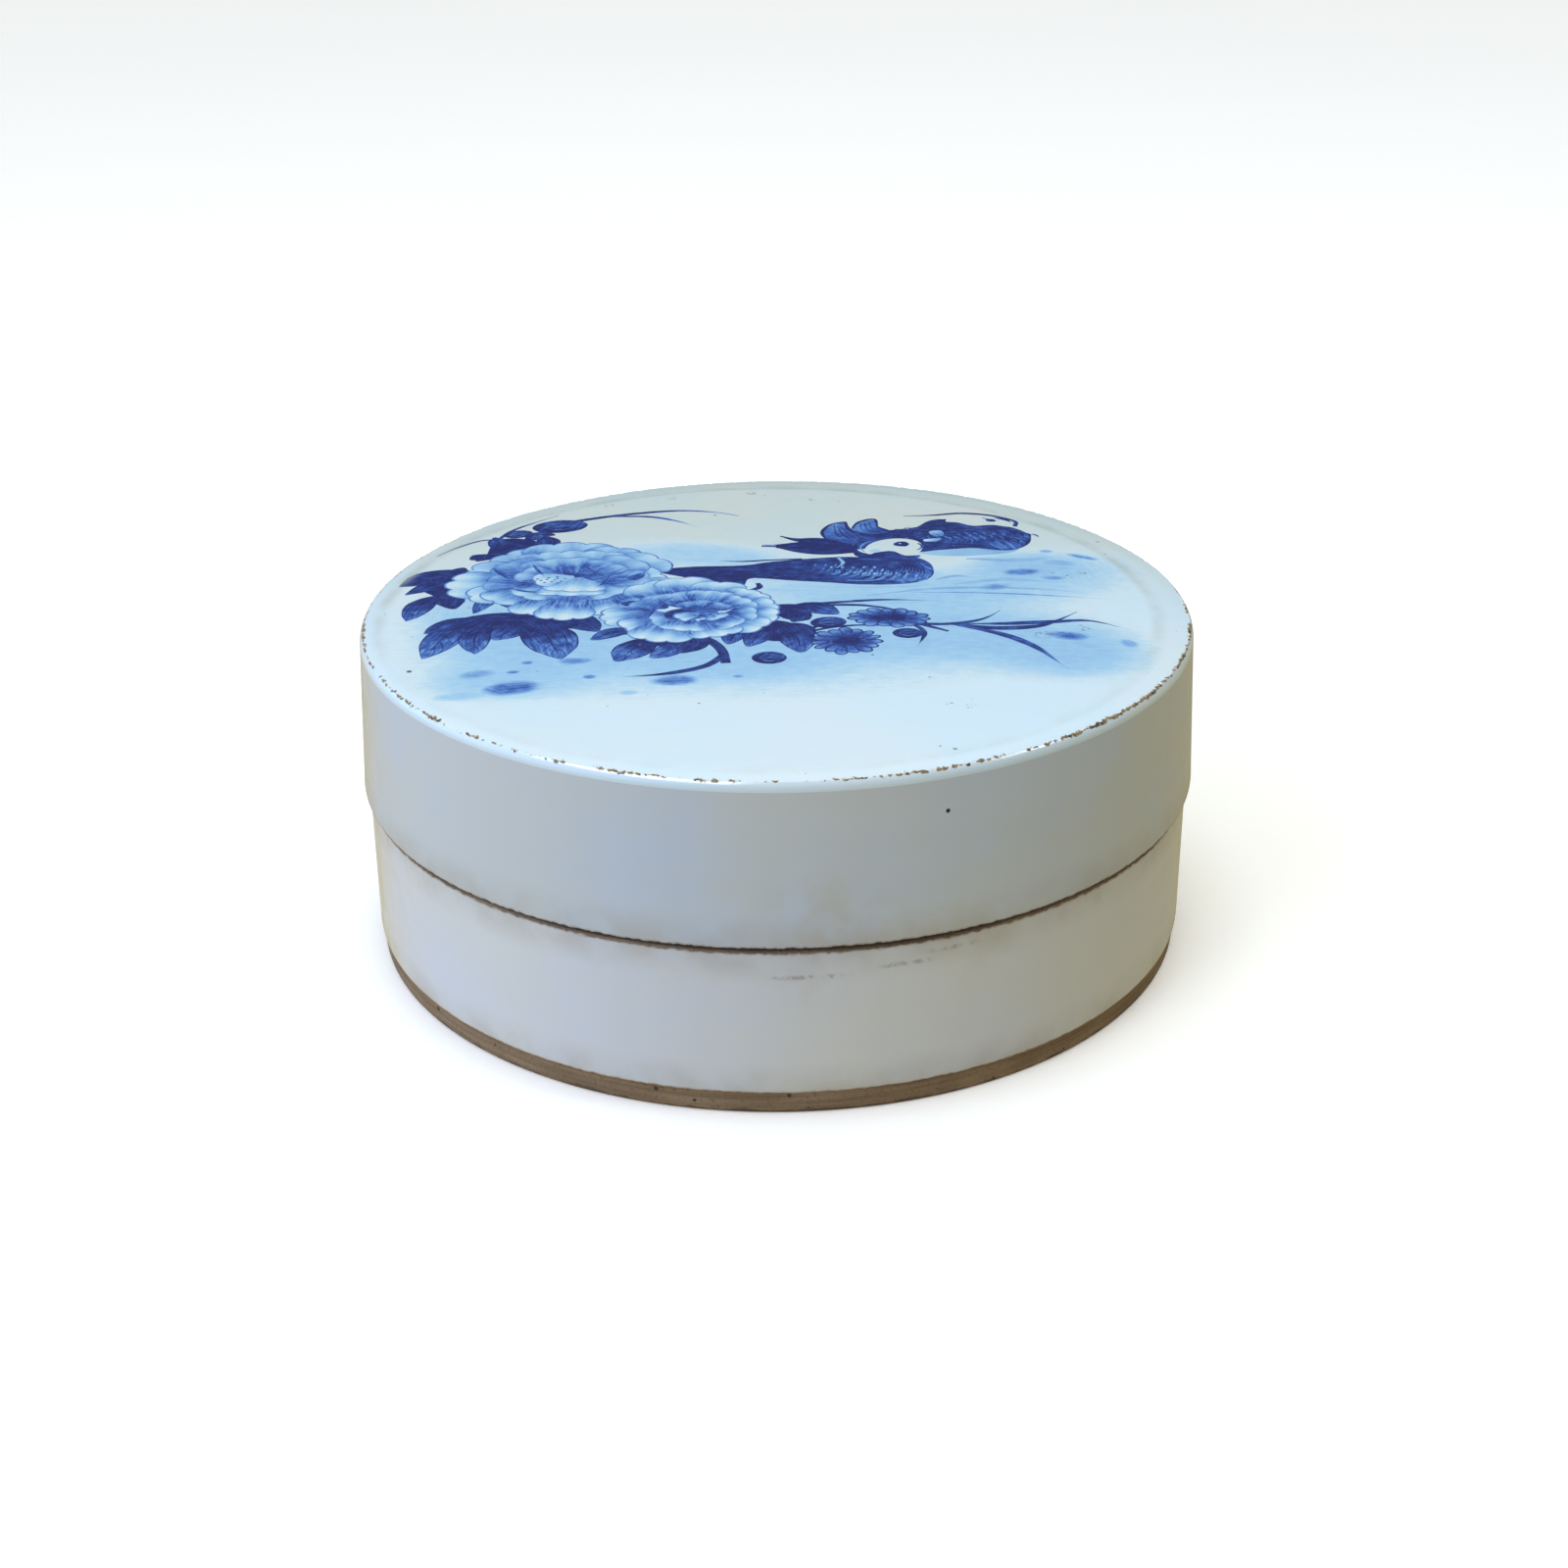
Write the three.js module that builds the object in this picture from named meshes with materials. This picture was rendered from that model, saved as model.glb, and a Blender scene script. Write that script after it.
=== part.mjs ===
// Round porcelain trinket box: a shallow base with an inner collar, and a flat-topped lid that
// lifts straight off it. Millimetres, +Z up. The origin is the centre of the foot ring, on the
// surface that the box stands on. Both pieces are thrown and turned, so both are bodies of
// revolution about Z.

import * as THREE from 'three';

// ---- driving dimensions ----------------------------------------------------

const TURNED_SIDES = 96; // flats round the faceted solid, a multiple of four

// The lid, from its top down.
const LID_RADIUS = 92.5; // at the rim
const SHOULDER_RADIUS = 91; // at the top of the wall, which leans in a little from the rim
const LID_TOP = 73.8; // height of the middle of the painted field
const CREASE_RADIUS = 83.3; // where the field meets the plain border band
const CREASE_HEIGHT = 73.4;
const ARRIS_RADIUS = 90.2; // worn edge between the border band and the shoulder
const ARRIS_HEIGHT = 72.9;
const SHOULDER_ROUND = 3.2; // radius of the shoulder below the arris
const LID_WALL = 3.7; // thickness at the rim
const LID_WALL_TOP = 3.2; // and where the wall meets the roof
const LID_ROOF = 5.2; // thickness of the flat top
const LID_INNER_FILLET = 6;

// The joint between the two pieces. They rest on each other all round, less the clearance.
const SEAT_HEIGHT = 37.6;
const SEAT_CLEARANCE = 0.3;
const EDGE_ROUND = 1.1; // rounded outer corner of each rim, which makes the groove of the seam

// The base, from its seat down.
const BASE_RADIUS = 91.4;
const COLLAR_OUTER_RADIUS = 88.2; // the lid's wall passes it with 0.6 all round
const COLLAR_INNER_RADIUS = 85;
const COLLAR_RISE = 5.6; // above the seat
const COLLAR_ROUND = 1.2;
const BASE_INNER_FILLET = 9;
const FLOOR_HEIGHT = 8.4; // upper side of the floor

// The foot, which is turned and left unglazed.
const GLAZE_LINE_HEIGHT = 5.2;
const FOOT_OUTER_RADIUS = 90.7;
const FOOT_EDGE_ROUND = 0.9;
const FOOT_INNER_RADIUS = 82.6;
const FOOT_INNER_SLOPE = 1.6; // how far the inner side of the foot leans inwards
const RECESS_HEIGHT = 3.4; // underside of the floor above the table, at its edge
const RECESS_DISH = 0.4; // and how much higher it is in the middle

const LID_GLAZE = { color: 0xdbe9ee, roughness: 0.16, metalness: 0 };
const BASE_GLAZE = { color: 0xc3cdd6, roughness: 0.18, metalness: 0 };

// ---- profile helpers -------------------------------------------------------

const point = (radius, height) => new THREE.Vector2(radius, height);

// Points on a circular arc, angles in degrees from the outward direction, both ends included.
function arc(centreRadius, centreHeight, round, fromDegrees, toDegrees, steps) {
  const points = [];
  for (let step = 0; step <= steps; step += 1) {
    const degrees = THREE.MathUtils.lerp(fromDegrees, toDegrees, step / steps);
    const angle = THREE.MathUtils.degToRad(degrees);
    points.push(point(centreRadius + round * Math.cos(angle), centreHeight + round * Math.sin(angle)));
  }
  return points;
}

// A turned solid from its profile, listed from the axis, round the outside, and back to the axis.
function turned(name, profile, finish) {
  const geometry = new THREE.LatheGeometry(profile, TURNED_SIDES);
  geometry.rotateX(Math.PI / 2); // the lathe turns about Y, the box stands along Z
  const mesh = new THREE.Mesh(geometry, new THREE.MeshStandardMaterial(finish));
  mesh.name = name;
  return mesh;
}

// ---- the base --------------------------------------------------------------

function baseProfile() {
  const seat = SEAT_HEIGHT - SEAT_CLEARANCE / 2;
  const collarTop = seat + COLLAR_RISE;
  const filletRadius = COLLAR_INNER_RADIUS - BASE_INNER_FILLET;
  return [
    point(0, RECESS_HEIGHT + RECESS_DISH),
    point(FOOT_INNER_RADIUS / 2, RECESS_HEIGHT + RECESS_DISH * 0.75),
    point(FOOT_INNER_RADIUS - FOOT_INNER_SLOPE, RECESS_HEIGHT),
    point(FOOT_INNER_RADIUS, 0),
    ...arc(FOOT_OUTER_RADIUS - FOOT_EDGE_ROUND, FOOT_EDGE_ROUND, FOOT_EDGE_ROUND, -90, 0, 3),
    point(BASE_RADIUS, GLAZE_LINE_HEIGHT),
    ...arc(BASE_RADIUS - EDGE_ROUND, seat - EDGE_ROUND, EDGE_ROUND, 0, 90, 3),
    point(COLLAR_OUTER_RADIUS, seat),
    ...arc(COLLAR_OUTER_RADIUS - COLLAR_ROUND, collarTop - COLLAR_ROUND, COLLAR_ROUND, 0, 90, 3),
    ...arc(COLLAR_INNER_RADIUS + COLLAR_ROUND, collarTop - COLLAR_ROUND, COLLAR_ROUND, 90, 180, 3),
    ...arc(filletRadius, FLOOR_HEIGHT + BASE_INNER_FILLET, BASE_INNER_FILLET, 0, -90, 5),
    point(0, FLOOR_HEIGHT),
  ];
}

// ---- the lid ---------------------------------------------------------------

function lidProfile() {
  const rim = SEAT_HEIGHT + SEAT_CLEARANCE / 2;
  const shoulderCentre = SHOULDER_RADIUS - SHOULDER_ROUND;
  const shoulderLean = Math.acos((ARRIS_RADIUS - shoulderCentre) / SHOULDER_ROUND);
  const shoulderHeight = ARRIS_HEIGHT - SHOULDER_ROUND * Math.sin(shoulderLean);
  const innerRadius = LID_RADIUS - LID_WALL;
  const roof = CREASE_HEIGHT - LID_ROOF;
  const filletRadius = SHOULDER_RADIUS - LID_WALL_TOP - LID_INNER_FILLET;
  return [
    point(0, roof),
    ...arc(filletRadius, roof - LID_INNER_FILLET, LID_INNER_FILLET, 90, 0, 4),
    ...arc(innerRadius + EDGE_ROUND / 2, rim + EDGE_ROUND / 2, EDGE_ROUND / 2, 180, 270, 2),
    ...arc(LID_RADIUS - EDGE_ROUND, rim + EDGE_ROUND, EDGE_ROUND, -90, 0, 3),
    ...arc(shoulderCentre, shoulderHeight, SHOULDER_ROUND, 0, THREE.MathUtils.radToDeg(shoulderLean), 4),
    point(CREASE_RADIUS, CREASE_HEIGHT),
    point(CREASE_RADIUS / 2, THREE.MathUtils.lerp(CREASE_HEIGHT, LID_TOP, 0.75)),
    point(0, LID_TOP),
  ];
}

// ---- assembly --------------------------------------------------------------

const box = new THREE.Group();
box.add(turned('base', baseProfile(), BASE_GLAZE));
box.add(turned('lid', lidProfile(), LID_GLAZE));

export default box;
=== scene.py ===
"""Old round porcelain trinket box: plain glazed walls, an unglazed foot, and a flat lid painted in
underglaze blue with two ducks among peonies and water grass. Lengths are in millimetres until a
mesh is made, and the plan of the painting is x to the right and y away from the front."""

import math

import bpy
import numpy as np
from mathutils import Matrix, Vector, noise
from mathutils.geometry import delaunay_2d_cdt


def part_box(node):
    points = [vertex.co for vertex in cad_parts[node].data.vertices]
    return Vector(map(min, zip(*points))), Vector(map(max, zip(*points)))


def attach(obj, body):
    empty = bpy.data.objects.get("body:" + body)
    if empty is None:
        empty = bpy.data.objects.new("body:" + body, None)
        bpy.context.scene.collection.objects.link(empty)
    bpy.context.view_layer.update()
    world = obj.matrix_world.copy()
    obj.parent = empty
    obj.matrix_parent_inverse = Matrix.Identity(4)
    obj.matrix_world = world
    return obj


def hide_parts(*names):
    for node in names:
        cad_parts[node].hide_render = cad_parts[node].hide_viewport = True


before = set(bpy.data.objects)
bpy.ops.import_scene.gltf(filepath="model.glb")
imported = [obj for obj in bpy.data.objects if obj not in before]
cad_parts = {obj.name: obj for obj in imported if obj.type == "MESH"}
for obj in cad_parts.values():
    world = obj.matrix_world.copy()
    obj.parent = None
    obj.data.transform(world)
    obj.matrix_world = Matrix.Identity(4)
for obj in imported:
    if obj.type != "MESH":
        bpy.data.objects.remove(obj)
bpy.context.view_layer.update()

# ---- sizes, from the frame and a few named details --------------------------

MM = 0.001
LID_LOW, LID_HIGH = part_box("lid")
_, BASE_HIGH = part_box("base")

LID_RADIUS = LID_HIGH.x / MM
LID_TOP = LID_HIGH.z / MM
LID_RIM = LID_LOW.z / MM
BASE_RADIUS = BASE_HIGH.x / MM
COLLAR_TOP = BASE_HIGH.z / MM
SEAT_CLEARANCE = 0.3  # below the lid's rim
SEAT = LID_RIM - SEAT_CLEARANCE

CREASE_RADIUS = 85.0
CREASE_CENTRE = (-1.7, -1.5)  # the painted field was pressed a little off the wheel's centre
CREASE_RISE = 0.5  # above the arris
CREASE_SOFTNESS = 0.6  # larger makes a rounder fold
GROOVE_DEPTH = 0.06  # of the fine groove along the crease
GROOVE_WIDTH = 0.8
FIELD_CROWN = 0.4  # how much higher the middle of the painted field is than the crease
ARRIS_INSET = 2.3  # the worn edge, in from the rim and down from the top
ARRIS_DROP = 0.9
ARRIS_HEIGHT = LID_TOP - ARRIS_DROP
WALL_LEAN = 1.5  # how far the wall leans in from the rim to the shoulder
SHOULDER_RADIUS = LID_RADIUS - WALL_LEAN
SHOULDER_ROUND = 3.2
LID_WALL = 3.7  # thickness at the rim, at the shoulder, and of the flat top
LID_WALL_TOP = 3.2
LID_ROOF = 5.2
LID_FILLET = 6.0
LID_TUCK = 1.5  # how far the wall's top reaches in under the painted top
EDGE_ROUND = 1.1
CHAMFER = 0.3

COLLAR_OUTER = 88.2
COLLAR_INNER = 85.0
COLLAR_ROUND = 1.2
BASE_FILLET = 9.0
FLOOR_HEIGHT = 8.4
GLAZE_LINE = 5.2
FOOT_OUTER = 90.7
FOOT_INNER = 82.6
FOOT_EDGE = 0.9
RECESS_HEIGHT = 3.4
RECESS_DISH = 0.4
RECESS_ROUND = 1.2
GLAZE_EDGE = ((0.36, -0.5), (0.24, -0.1), (0.08, 0.15), (0, 0.6))  # inset and rise where the glaze ends

ARRIS_RADIUS = LID_RADIUS - ARRIS_INSET
SHOULDER_CENTRE = SHOULDER_RADIUS - SHOULDER_ROUND
SHOULDER_LEAN = math.acos((ARRIS_RADIUS - SHOULDER_CENTRE) / SHOULDER_ROUND)
SHOULDER_HEIGHT = ARRIS_HEIGHT - SHOULDER_ROUND * math.sin(SHOULDER_LEAN)
FIELD_EDGE = 87.4  # radius at which the painted triangles meet the ring of the arris

WALL_SIDES = 360
ARRIS_SIDES = 1440
SHELL_SIDES = ARRIS_SIDES // 3
PROFILE_STEP = 1.6  # longest stretch of a turned profile
GRID_STEP = 1.25  # of the grid behind the painting
PATCH_SIZE = 5.5  # of the wear on the arris
CHIP_SIZE = 1.0
WEAR_DEPTH = 0.2  # where the glaze is worn through
SMALL_BLOT = 6  # longest spot that needs points of its own inside, as the grid is too coarse for it


# ---- small maths ------------------------------------------------------------


def smooth(x, low, high):
    t = np.clip((x - low) / (high - low), 0, 1)
    return t * t * (3 - 2 * t)


def lerp(a, b, t):
    return a + (b - a) * t


def turn(degrees):
    angle = math.radians(degrees)
    return np.array((math.cos(angle), math.sin(angle)))


def spline(points, step, closed=False):
    """Points about a step apart on a smooth curve through the given ones."""
    pts = np.array(points, float)
    if closed:
        ring = np.vstack([pts[-1], pts, pts[0], pts[1]])
    else:
        ring = np.vstack([2 * pts[0] - pts[1], pts, 2 * pts[-1] - pts[-2]])
    out = []
    for a, b, c, d in zip(ring, ring[1:], ring[2:], ring[3:]):
        count = max(1, math.ceil(np.linalg.norm(c - b) / step))
        t = (np.arange(count) / count)[:, None]
        curve = 2 * b + (c - a) * t + (2 * a - 5 * b + 4 * c - d) * t**2 + (3 * b - a - 3 * c + d) * t**3
        out.append(0.5 * curve)
    if not closed:
        out.append(pts[-1:])
    return np.vstack(out)


def arc(radius, height, size, start, stop, steps):
    """Profile points on an arc, angles in degrees from outwards."""
    angles = np.radians(np.linspace(start, stop, steps + 1))
    return [(radius + size * math.cos(a), height + size * math.sin(a)) for a in angles]


# ---- shapes of the brush ----------------------------------------------------


class Painting:
    """Layers of brushwork. Each has an outline, and a rule for its ink and cover at any points."""

    def __init__(self):
        self.layers = []
        self.loose = []  # sets of points inside small spots

    def layer(self, outline, rule):
        outline = np.asarray(outline, float)
        radius = np.hypot(outline[:, 0], outline[:, 1])
        outline = outline * np.minimum(1, (FIELD_EDGE - 1) / radius)[:, None]
        self.layers.append((outline, rule))


ART = Painting()


def ribbon(points, half_width, step):
    """A brush path: its outline, middle line, share of length at each point, normals, and length."""
    middle = spline(points, step)
    lengths = np.concatenate([[0], np.cumsum(np.linalg.norm(np.diff(middle, axis=0), axis=1))])
    share = lengths / lengths[-1]
    tangent = np.gradient(middle, axis=0)
    tangent /= np.linalg.norm(tangent, axis=1)[:, None]
    normal = np.stack([-tangent[:, 1], tangent[:, 0]], 1)
    width = np.maximum(half_width(share), 0.03)[:, None]
    outline = np.vstack([middle + normal * width, (middle - normal * width)[::-1]])
    return outline, middle, share, normal, lengths[-1]


def on_path(points, path):
    """Where points lie along a path, 0 to 1, and how far to its left."""
    _, middle, share, normal, _ = path
    gap = points[:, None, :] - middle[None]
    near = np.argmin((gap**2).sum(2), axis=1)
    rows = np.arange(len(points))
    return share[near], (gap[rows, near] * normal[near]).sum(1)


def stroke(points, width, ink, start=0.35, end=0.0, fade=0.0, step=0.9):
    """A brush stroke: start and end are its width there as a share of the middle, fade thins its end."""

    def half_width(s):
        rise = lerp(start, 1, smooth(s, 0, 0.35))
        return width / 2 * rise * lerp(end, 1, smooth(1 - s, 0, 0.55))

    path = ribbon(points, half_width, step)

    def rule(at):
        s, across = on_path(at, path)
        cover = 1 - fade * smooth(s, 0.45, 1.0)
        return np.full(len(at), ink), cover, s * path[4], across

    ART.layer(path[0], rule)


def blot(centre, length, width, degrees, ink, cover=1.0, soft=0.5):
    """A soft spot or a wash of thin colour."""
    along, across = turn(degrees), turn(degrees + 90)
    angles = np.linspace(0, 2 * math.pi, 40, endpoint=False)
    wobble = 1 + 0.08 * np.sin(3 * angles + centre[0]) + 0.05 * np.sin(5 * angles + centre[1])
    unit = np.stack([np.cos(angles), np.sin(angles)], 1) * wobble[:, None]

    def place(share):
        flat = unit * share * (length / 2, width / 2)
        return np.array(centre) + flat[:, :1] * along + flat[:, 1:] * across

    def rule(at):
        gap = at - np.array(centre)
        out = np.hypot(gap @ along / (length / 2), gap @ across / (width / 2))
        return np.full(len(at), ink), cover * smooth(1 - out, 0, soft), gap @ along, gap @ across

    ART.layer(place(1.0), rule)
    if length <= SMALL_BLOT:
        ART.loose.extend(place(share)[::3] for share in (0.8, 0.5))


def blob(points, ink, other=None, towards=0.0, cover=1.0, step=0.8):
    """A closed shape. With other, its ink changes to that across it, in the direction towards."""
    outline = spline(points, step, closed=True)
    direction = turn(towards)
    reach = outline @ direction

    def rule(at):
        share = (at @ direction - reach.min()) / np.ptp(reach)
        tone = np.full(len(at), ink) if other is None else lerp(ink, other, smooth(share, 0.1, 0.9))
        return tone, np.full(len(at), cover), at @ direction, at @ turn(towards + 90)

    ART.layer(outline, rule)


def leaf(points, width, dark=0.97, light=0.6, veins=4, full=0.42):
    """A leaf, dark where it starts and thinner towards its tip, with an outline, a midrib and veins."""

    def half_width(s):
        return width / 2 * np.sin(math.pi * np.clip(s, 0, 1) ** (0.5 / full)) ** 0.85

    path = ribbon(points, half_width, 0.8)
    _, middle, share, normal, length = path

    def rule(at):
        s, across = on_path(at, path)
        tone = lerp(dark, light, smooth(s, 0.3, 0.75))
        return tone, np.ones(len(at)), s * length, across

    ART.layer(path[0], rule)

    def spot(s, side):
        near = int(round(s * (len(middle) - 1)))
        return middle[near] + normal[near] * side * half_width(np.array([s]))[0]

    marks = np.linspace(0.12, 0.98, 9)
    for side in (-0.97, 0.97):
        stroke([spot(s, side) for s in marks], 0.42, min(dark, 0.9), start=0.9, end=0.3)
    stroke([spot(s, 0) for s in (0.15, 0.5, 0.93)], 0.5, 0.92, start=1, end=0.2)
    for vein in range(veins):
        s = lerp(0.3, 0.78, vein / max(1, veins - 1))
        for side in (-1, 1):
            tip = spot(min(s + 0.16, 0.97), side * 0.86)
            stroke([spot(s, side * 0.03), spot(s + 0.09, side * 0.45), tip], 0.3, 0.84, start=1, end=0.3)


def petal(base, tip, width, lobes=3, deep=0.5, pale=0.05, line=0.5, curl=0.0):
    """A petal that is shaded where it starts and has a scalloped, outlined edge."""
    base, tip = np.array(base, float), np.array(tip, float)
    length = np.linalg.norm(tip - base)
    along = (tip - base) / length
    across = np.array((-along[1], along[0]))

    def place(s, t):
        return base + along * s * length + across * (t * width / 2 + curl * width * s * s)

    span = np.linspace(-1, 1, 12 * lobes + 1)
    scallop = np.abs(np.sin(math.pi * lobes * (span + 1) / 2)) ** 0.6
    reach = (0.62 + 0.32 * np.sqrt(1 - 0.92 * span**2)) + 0.07 * scallop
    rim = [place(s, t * (0.97 + 0.05 * k)) for s, t, k in zip(reach, span, scallop)]
    side = [(0.0, 0.1), (0.2, 0.42), (0.42, 0.78)]
    left = [place(s, -t) for s, t in side]
    right = [place(s, t) for s, t in reversed(side)]
    outline = np.array(left + rim + right)

    def rule(at):
        gap = at - base
        s = gap @ along / length
        t = (gap @ across - curl * width * s * s) / (width / 2)
        shade = lerp(deep, pale, smooth(s, 0.26, 0.94))
        shade = shade + 0.2 * smooth(np.abs(t), 0.4, 1.0) * (1 - smooth(s, 0.55, 1.0))
        folds = 0.05 * np.sin(t * lobes * 3.1 + base[0]) * smooth(s, 0.2, 0.6)
        return np.clip(shade + folds, 0.01, 1), np.ones(len(at)), s * length, t * 6

    ART.layer(outline, rule)
    rim = np.array(rim)
    stroke(np.vstack([left[2], rim, right[0]]), 0.5, line, start=0.6, end=0.5, step=1.2)
    for fold in np.linspace(-0.5, 0.5, lobes):
        run = [place(0.3, fold * 0.7), place(0.5, fold * 0.9), place(0.68, fold)]
        stroke(run, 0.3, lerp(pale, deep, 0.55), start=0.4, end=0.0)


# ---- the picture ------------------------------------------------------------


# Washes of thin colour: centre, length, width, direction, ink and cover.
WASHES = (
    ((-46, -22), 92, 78, -8, 0.24, 1.0),
    ((-66, 0), 60, 44, 90, 0.22, 0.9),
    ((-10, -24), 110, 66, -2, 0.24, 0.95),
    ((34, -18), 108, 62, 0, 0.24, 1.0),
    ((60, -28), 56, 46, -14, 0.25, 1.0),
    ((64, 20), 44, 66, 100, 0.2, 0.75),
    ((30, 8), 120, 40, 3, 0.24, 0.9),
    ((-16, 32), 66, 28, -16, 0.22, 0.85),
    ((10, 20), 80, 24, 4, 0.2, 0.8),
    ((58, 24), 40, 26, -8, 0.27, 0.8),
    ((-54, -42), 56, 30, 8, 0.25, 0.8),
    ((0, -44), 130, 30, 3, 0.14, 0.6),
    ((-8, -35), 64, 26, 2, 0.25, 0.85),
)


def paint_washes():
    """Thin colour laid under everything, in the lower half and round the flowers."""
    for centre, length, width, degrees, ink, cover in WASHES:
        blot(centre, length, width, degrees, ink, cover, soft=0.75)


# Ripples: path, width, ink and how much they fade.
RIPPLES = (
    ([(-2, 9), (12, 8.5), (26, 10), (40, 12.5)], 1.6, 0.3, 0.7),
    ([(20, 5), (38, 9.5), (60, 8.5), (78, 3)], 1.3, 0.32, 0.9),
    ([(30, 7), (48, 6.2), (64, 4), (80, 1)], 0.8, 0.4, 0.8),
    ([(4, 11), (16, 10.4), (30, 11), (36, 13)], 0.8, 0.42, 0.7),
    ([(36, 15), (41, 17.5), (46, 15.5)], 1.3, 0.34, 0.8),
    ([(44, 29), (56, 28), (68, 31)], 2.4, 0.3, 0.8),
    ([(40, 12), (52, 15), (66, 12)], 2.0, 0.28, 0.8),
)
# Drops: centre, length, width, direction and ink.
DROPS = (
    ((56, 20), 10, 5, 8, 0.55),
    ((62.5, 16), 6.5, 3.2, -4, 0.42),
    ((49, 10.2), 8, 4.6, 10, 0.42),
    ((-54, -46), 14, 8.4, 14, 0.6),
    ((-21, -43), 11.5, 6.4, 4, 0.56),
    ((-62, -38.5), 9, 5, 20, 0.4),
    ((-42, -32), 8.5, 4.2, 2, 0.5),
    ((-52, -32.5), 3, 2.4, 0, 0.5),
    ((-54.5, -37.6), 3.2, 2.3, 10, 0.52),
    ((-38.5, -40.5), 3.4, 2.8, 0, 0.5),
    ((-8, -41), 3, 2, 0, 0.44),
    ((-30, -49), 5, 3.4, 0, 0.24),
    ((62, -19.5), 10.5, 5.4, -14, 0.58),
    ((71, 30), 10, 3, -32, 0.46),
    ((74.5, -24), 6, 4, -60, 0.36),
    ((65, 26), 9, 5, -10, 0.32),
    ((63, 34), 4, 3, 0, 0.34),
    ((-64, -50), 14, 5, 10, 0.24),
)


def paint_water():
    """Ripples and drops of thin colour."""
    for points, width, ink, fade in RIPPLES:
        stroke(points, width, ink, fade=fade)
    for centre, length, width, degrees, ink in DROPS:
        blot(centre, length, width, degrees, ink, 0.9, soft=0.55)


# Blades and stems: path, width, ink, share of the width at start and end, and fading.
BLADES = (
    ([(-51, 57), (-42, 61), (-34, 63.6), (-24, 65.4), (-15, 64), (-9, 61)], 1.5, 0.86, 1.2, 0.3, 0.5),
    ([(-40, 61.6), (-31, 61), (-24, 57.5), (-18, 52)], 1.2, 0.72, 0.9, 0.1, 0.7),
    ([(-67, 33), (-66.4, 42), (-63, 52), (-53, 63)], 1.1, 0.88, 1.0, 0.2, 0.2),
    ([(-66, 45), (-70, 44.6), (-75, 40), (-79.5, 34)], 0.8, 0.84, 1.0, 0.5, 0.3),
    ([(-20, -16), (-14.5, -21), (-11.6, -27), (-10.6, -34)], 2.4, 0.86, 0.8, 0.9, 0.0),
    ([(-10.8, -29), (-15, -35.5), (-23, -39.4), (-33, -41)], 1.9, 0.84, 1.0, 0.0, 0.1),
    ([(2, -1.2), (13, 0.8), (24, 2.3), (36, 1.4)], 1.4, 0.86, 0.8, 0.0, 0.3),
    ([(8, -1), (17, -0.8), (23, -2.4), (27, -5)], 1.3, 0.84, 1.0, 0.8, 0.0),
    ([(29, -12.2), (36, -12.6), (42, -11.2), (46, -8.4), (49, -4.4)], 1.5, 0.86, 1.0, 0.1, 0.0),
    ([(37, -12.4), (47, -15), (56, -14), (61, -10.4), (65.6, -5.6)], 2.3, 0.82, 0.5, 0.1, 0.0),
    ([(40, -12.6), (50, -12.4), (60, -11.4), (68, -11), (76, -16.4)], 2.1, 0.8, 0.3, 0.0, 0.0),
    ([(39, -13.4), (48, -18.6), (54.5, -26), (60, -38)], 2.2, 0.74, 0.4, 0.0, 0.35),
    ([(30, -12), (33.6, -14.4), (36.8, -16.8)], 1.2, 0.86, 1.0, 0.7, 0.0),
    ([(29.6, -12.4), (31.6, -17.6), (29.8, -25)], 1.2, 0.8, 1.0, 0.0, 0.2),
    ([(4, -15), (7.6, -14.6), (9, -12.6)], 1.1, 0.9, 1.0, 1.0, 0.0),
    ([(6, -17), (12, -14.2), (18, -13), (26, -13.4)], 1.0, 0.88, 1.0, 0.7, 0.0),
)


def paint_grass():
    """Long blades and stems behind and beside the flowers."""
    for points, width, ink, start, end, fade in BLADES:
        stroke(points, width, ink, start, end, fade)


# Outlines of the heavy middle of each group of leaves.
LEAF_HEARTS = (
    [(-72, 26), (-78, 21), (-81, 14), (-76, 7), (-70, 4), (-68, 12), (-70, 20)],
    [(-71, -9), (-65, -4.6), (-57, -3.4), (-50, -5), (-43, -4.6), (-39, -8), (-40, -13.6)]
    + [(-48, -13), (-56, -12), (-62, -14), (-68, -13)],
    [(-28, -17), (-20, -17), (-16.6, -21), (-20, -24), (-27, -23.6)],
    [(-7, -16), (-3, -10.4), (2, -10.6), (5.6, -15.4), (4, -21), (-2, -21.6)],
    [(-2, -1.2), (3, 0), (7.4, -1.6), (7, -7), (3, -9.6), (-0.4, -6)],
    [(-69.6, 30), (-67, 37), (-67.6, 44), (-62, 46), (-55, 42.4), (-56, 37), (-62, 33.6)],
    [(-65, 36), (-60, 36), (-56, 38), (-57, 32), (-64, 30)],
)
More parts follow.
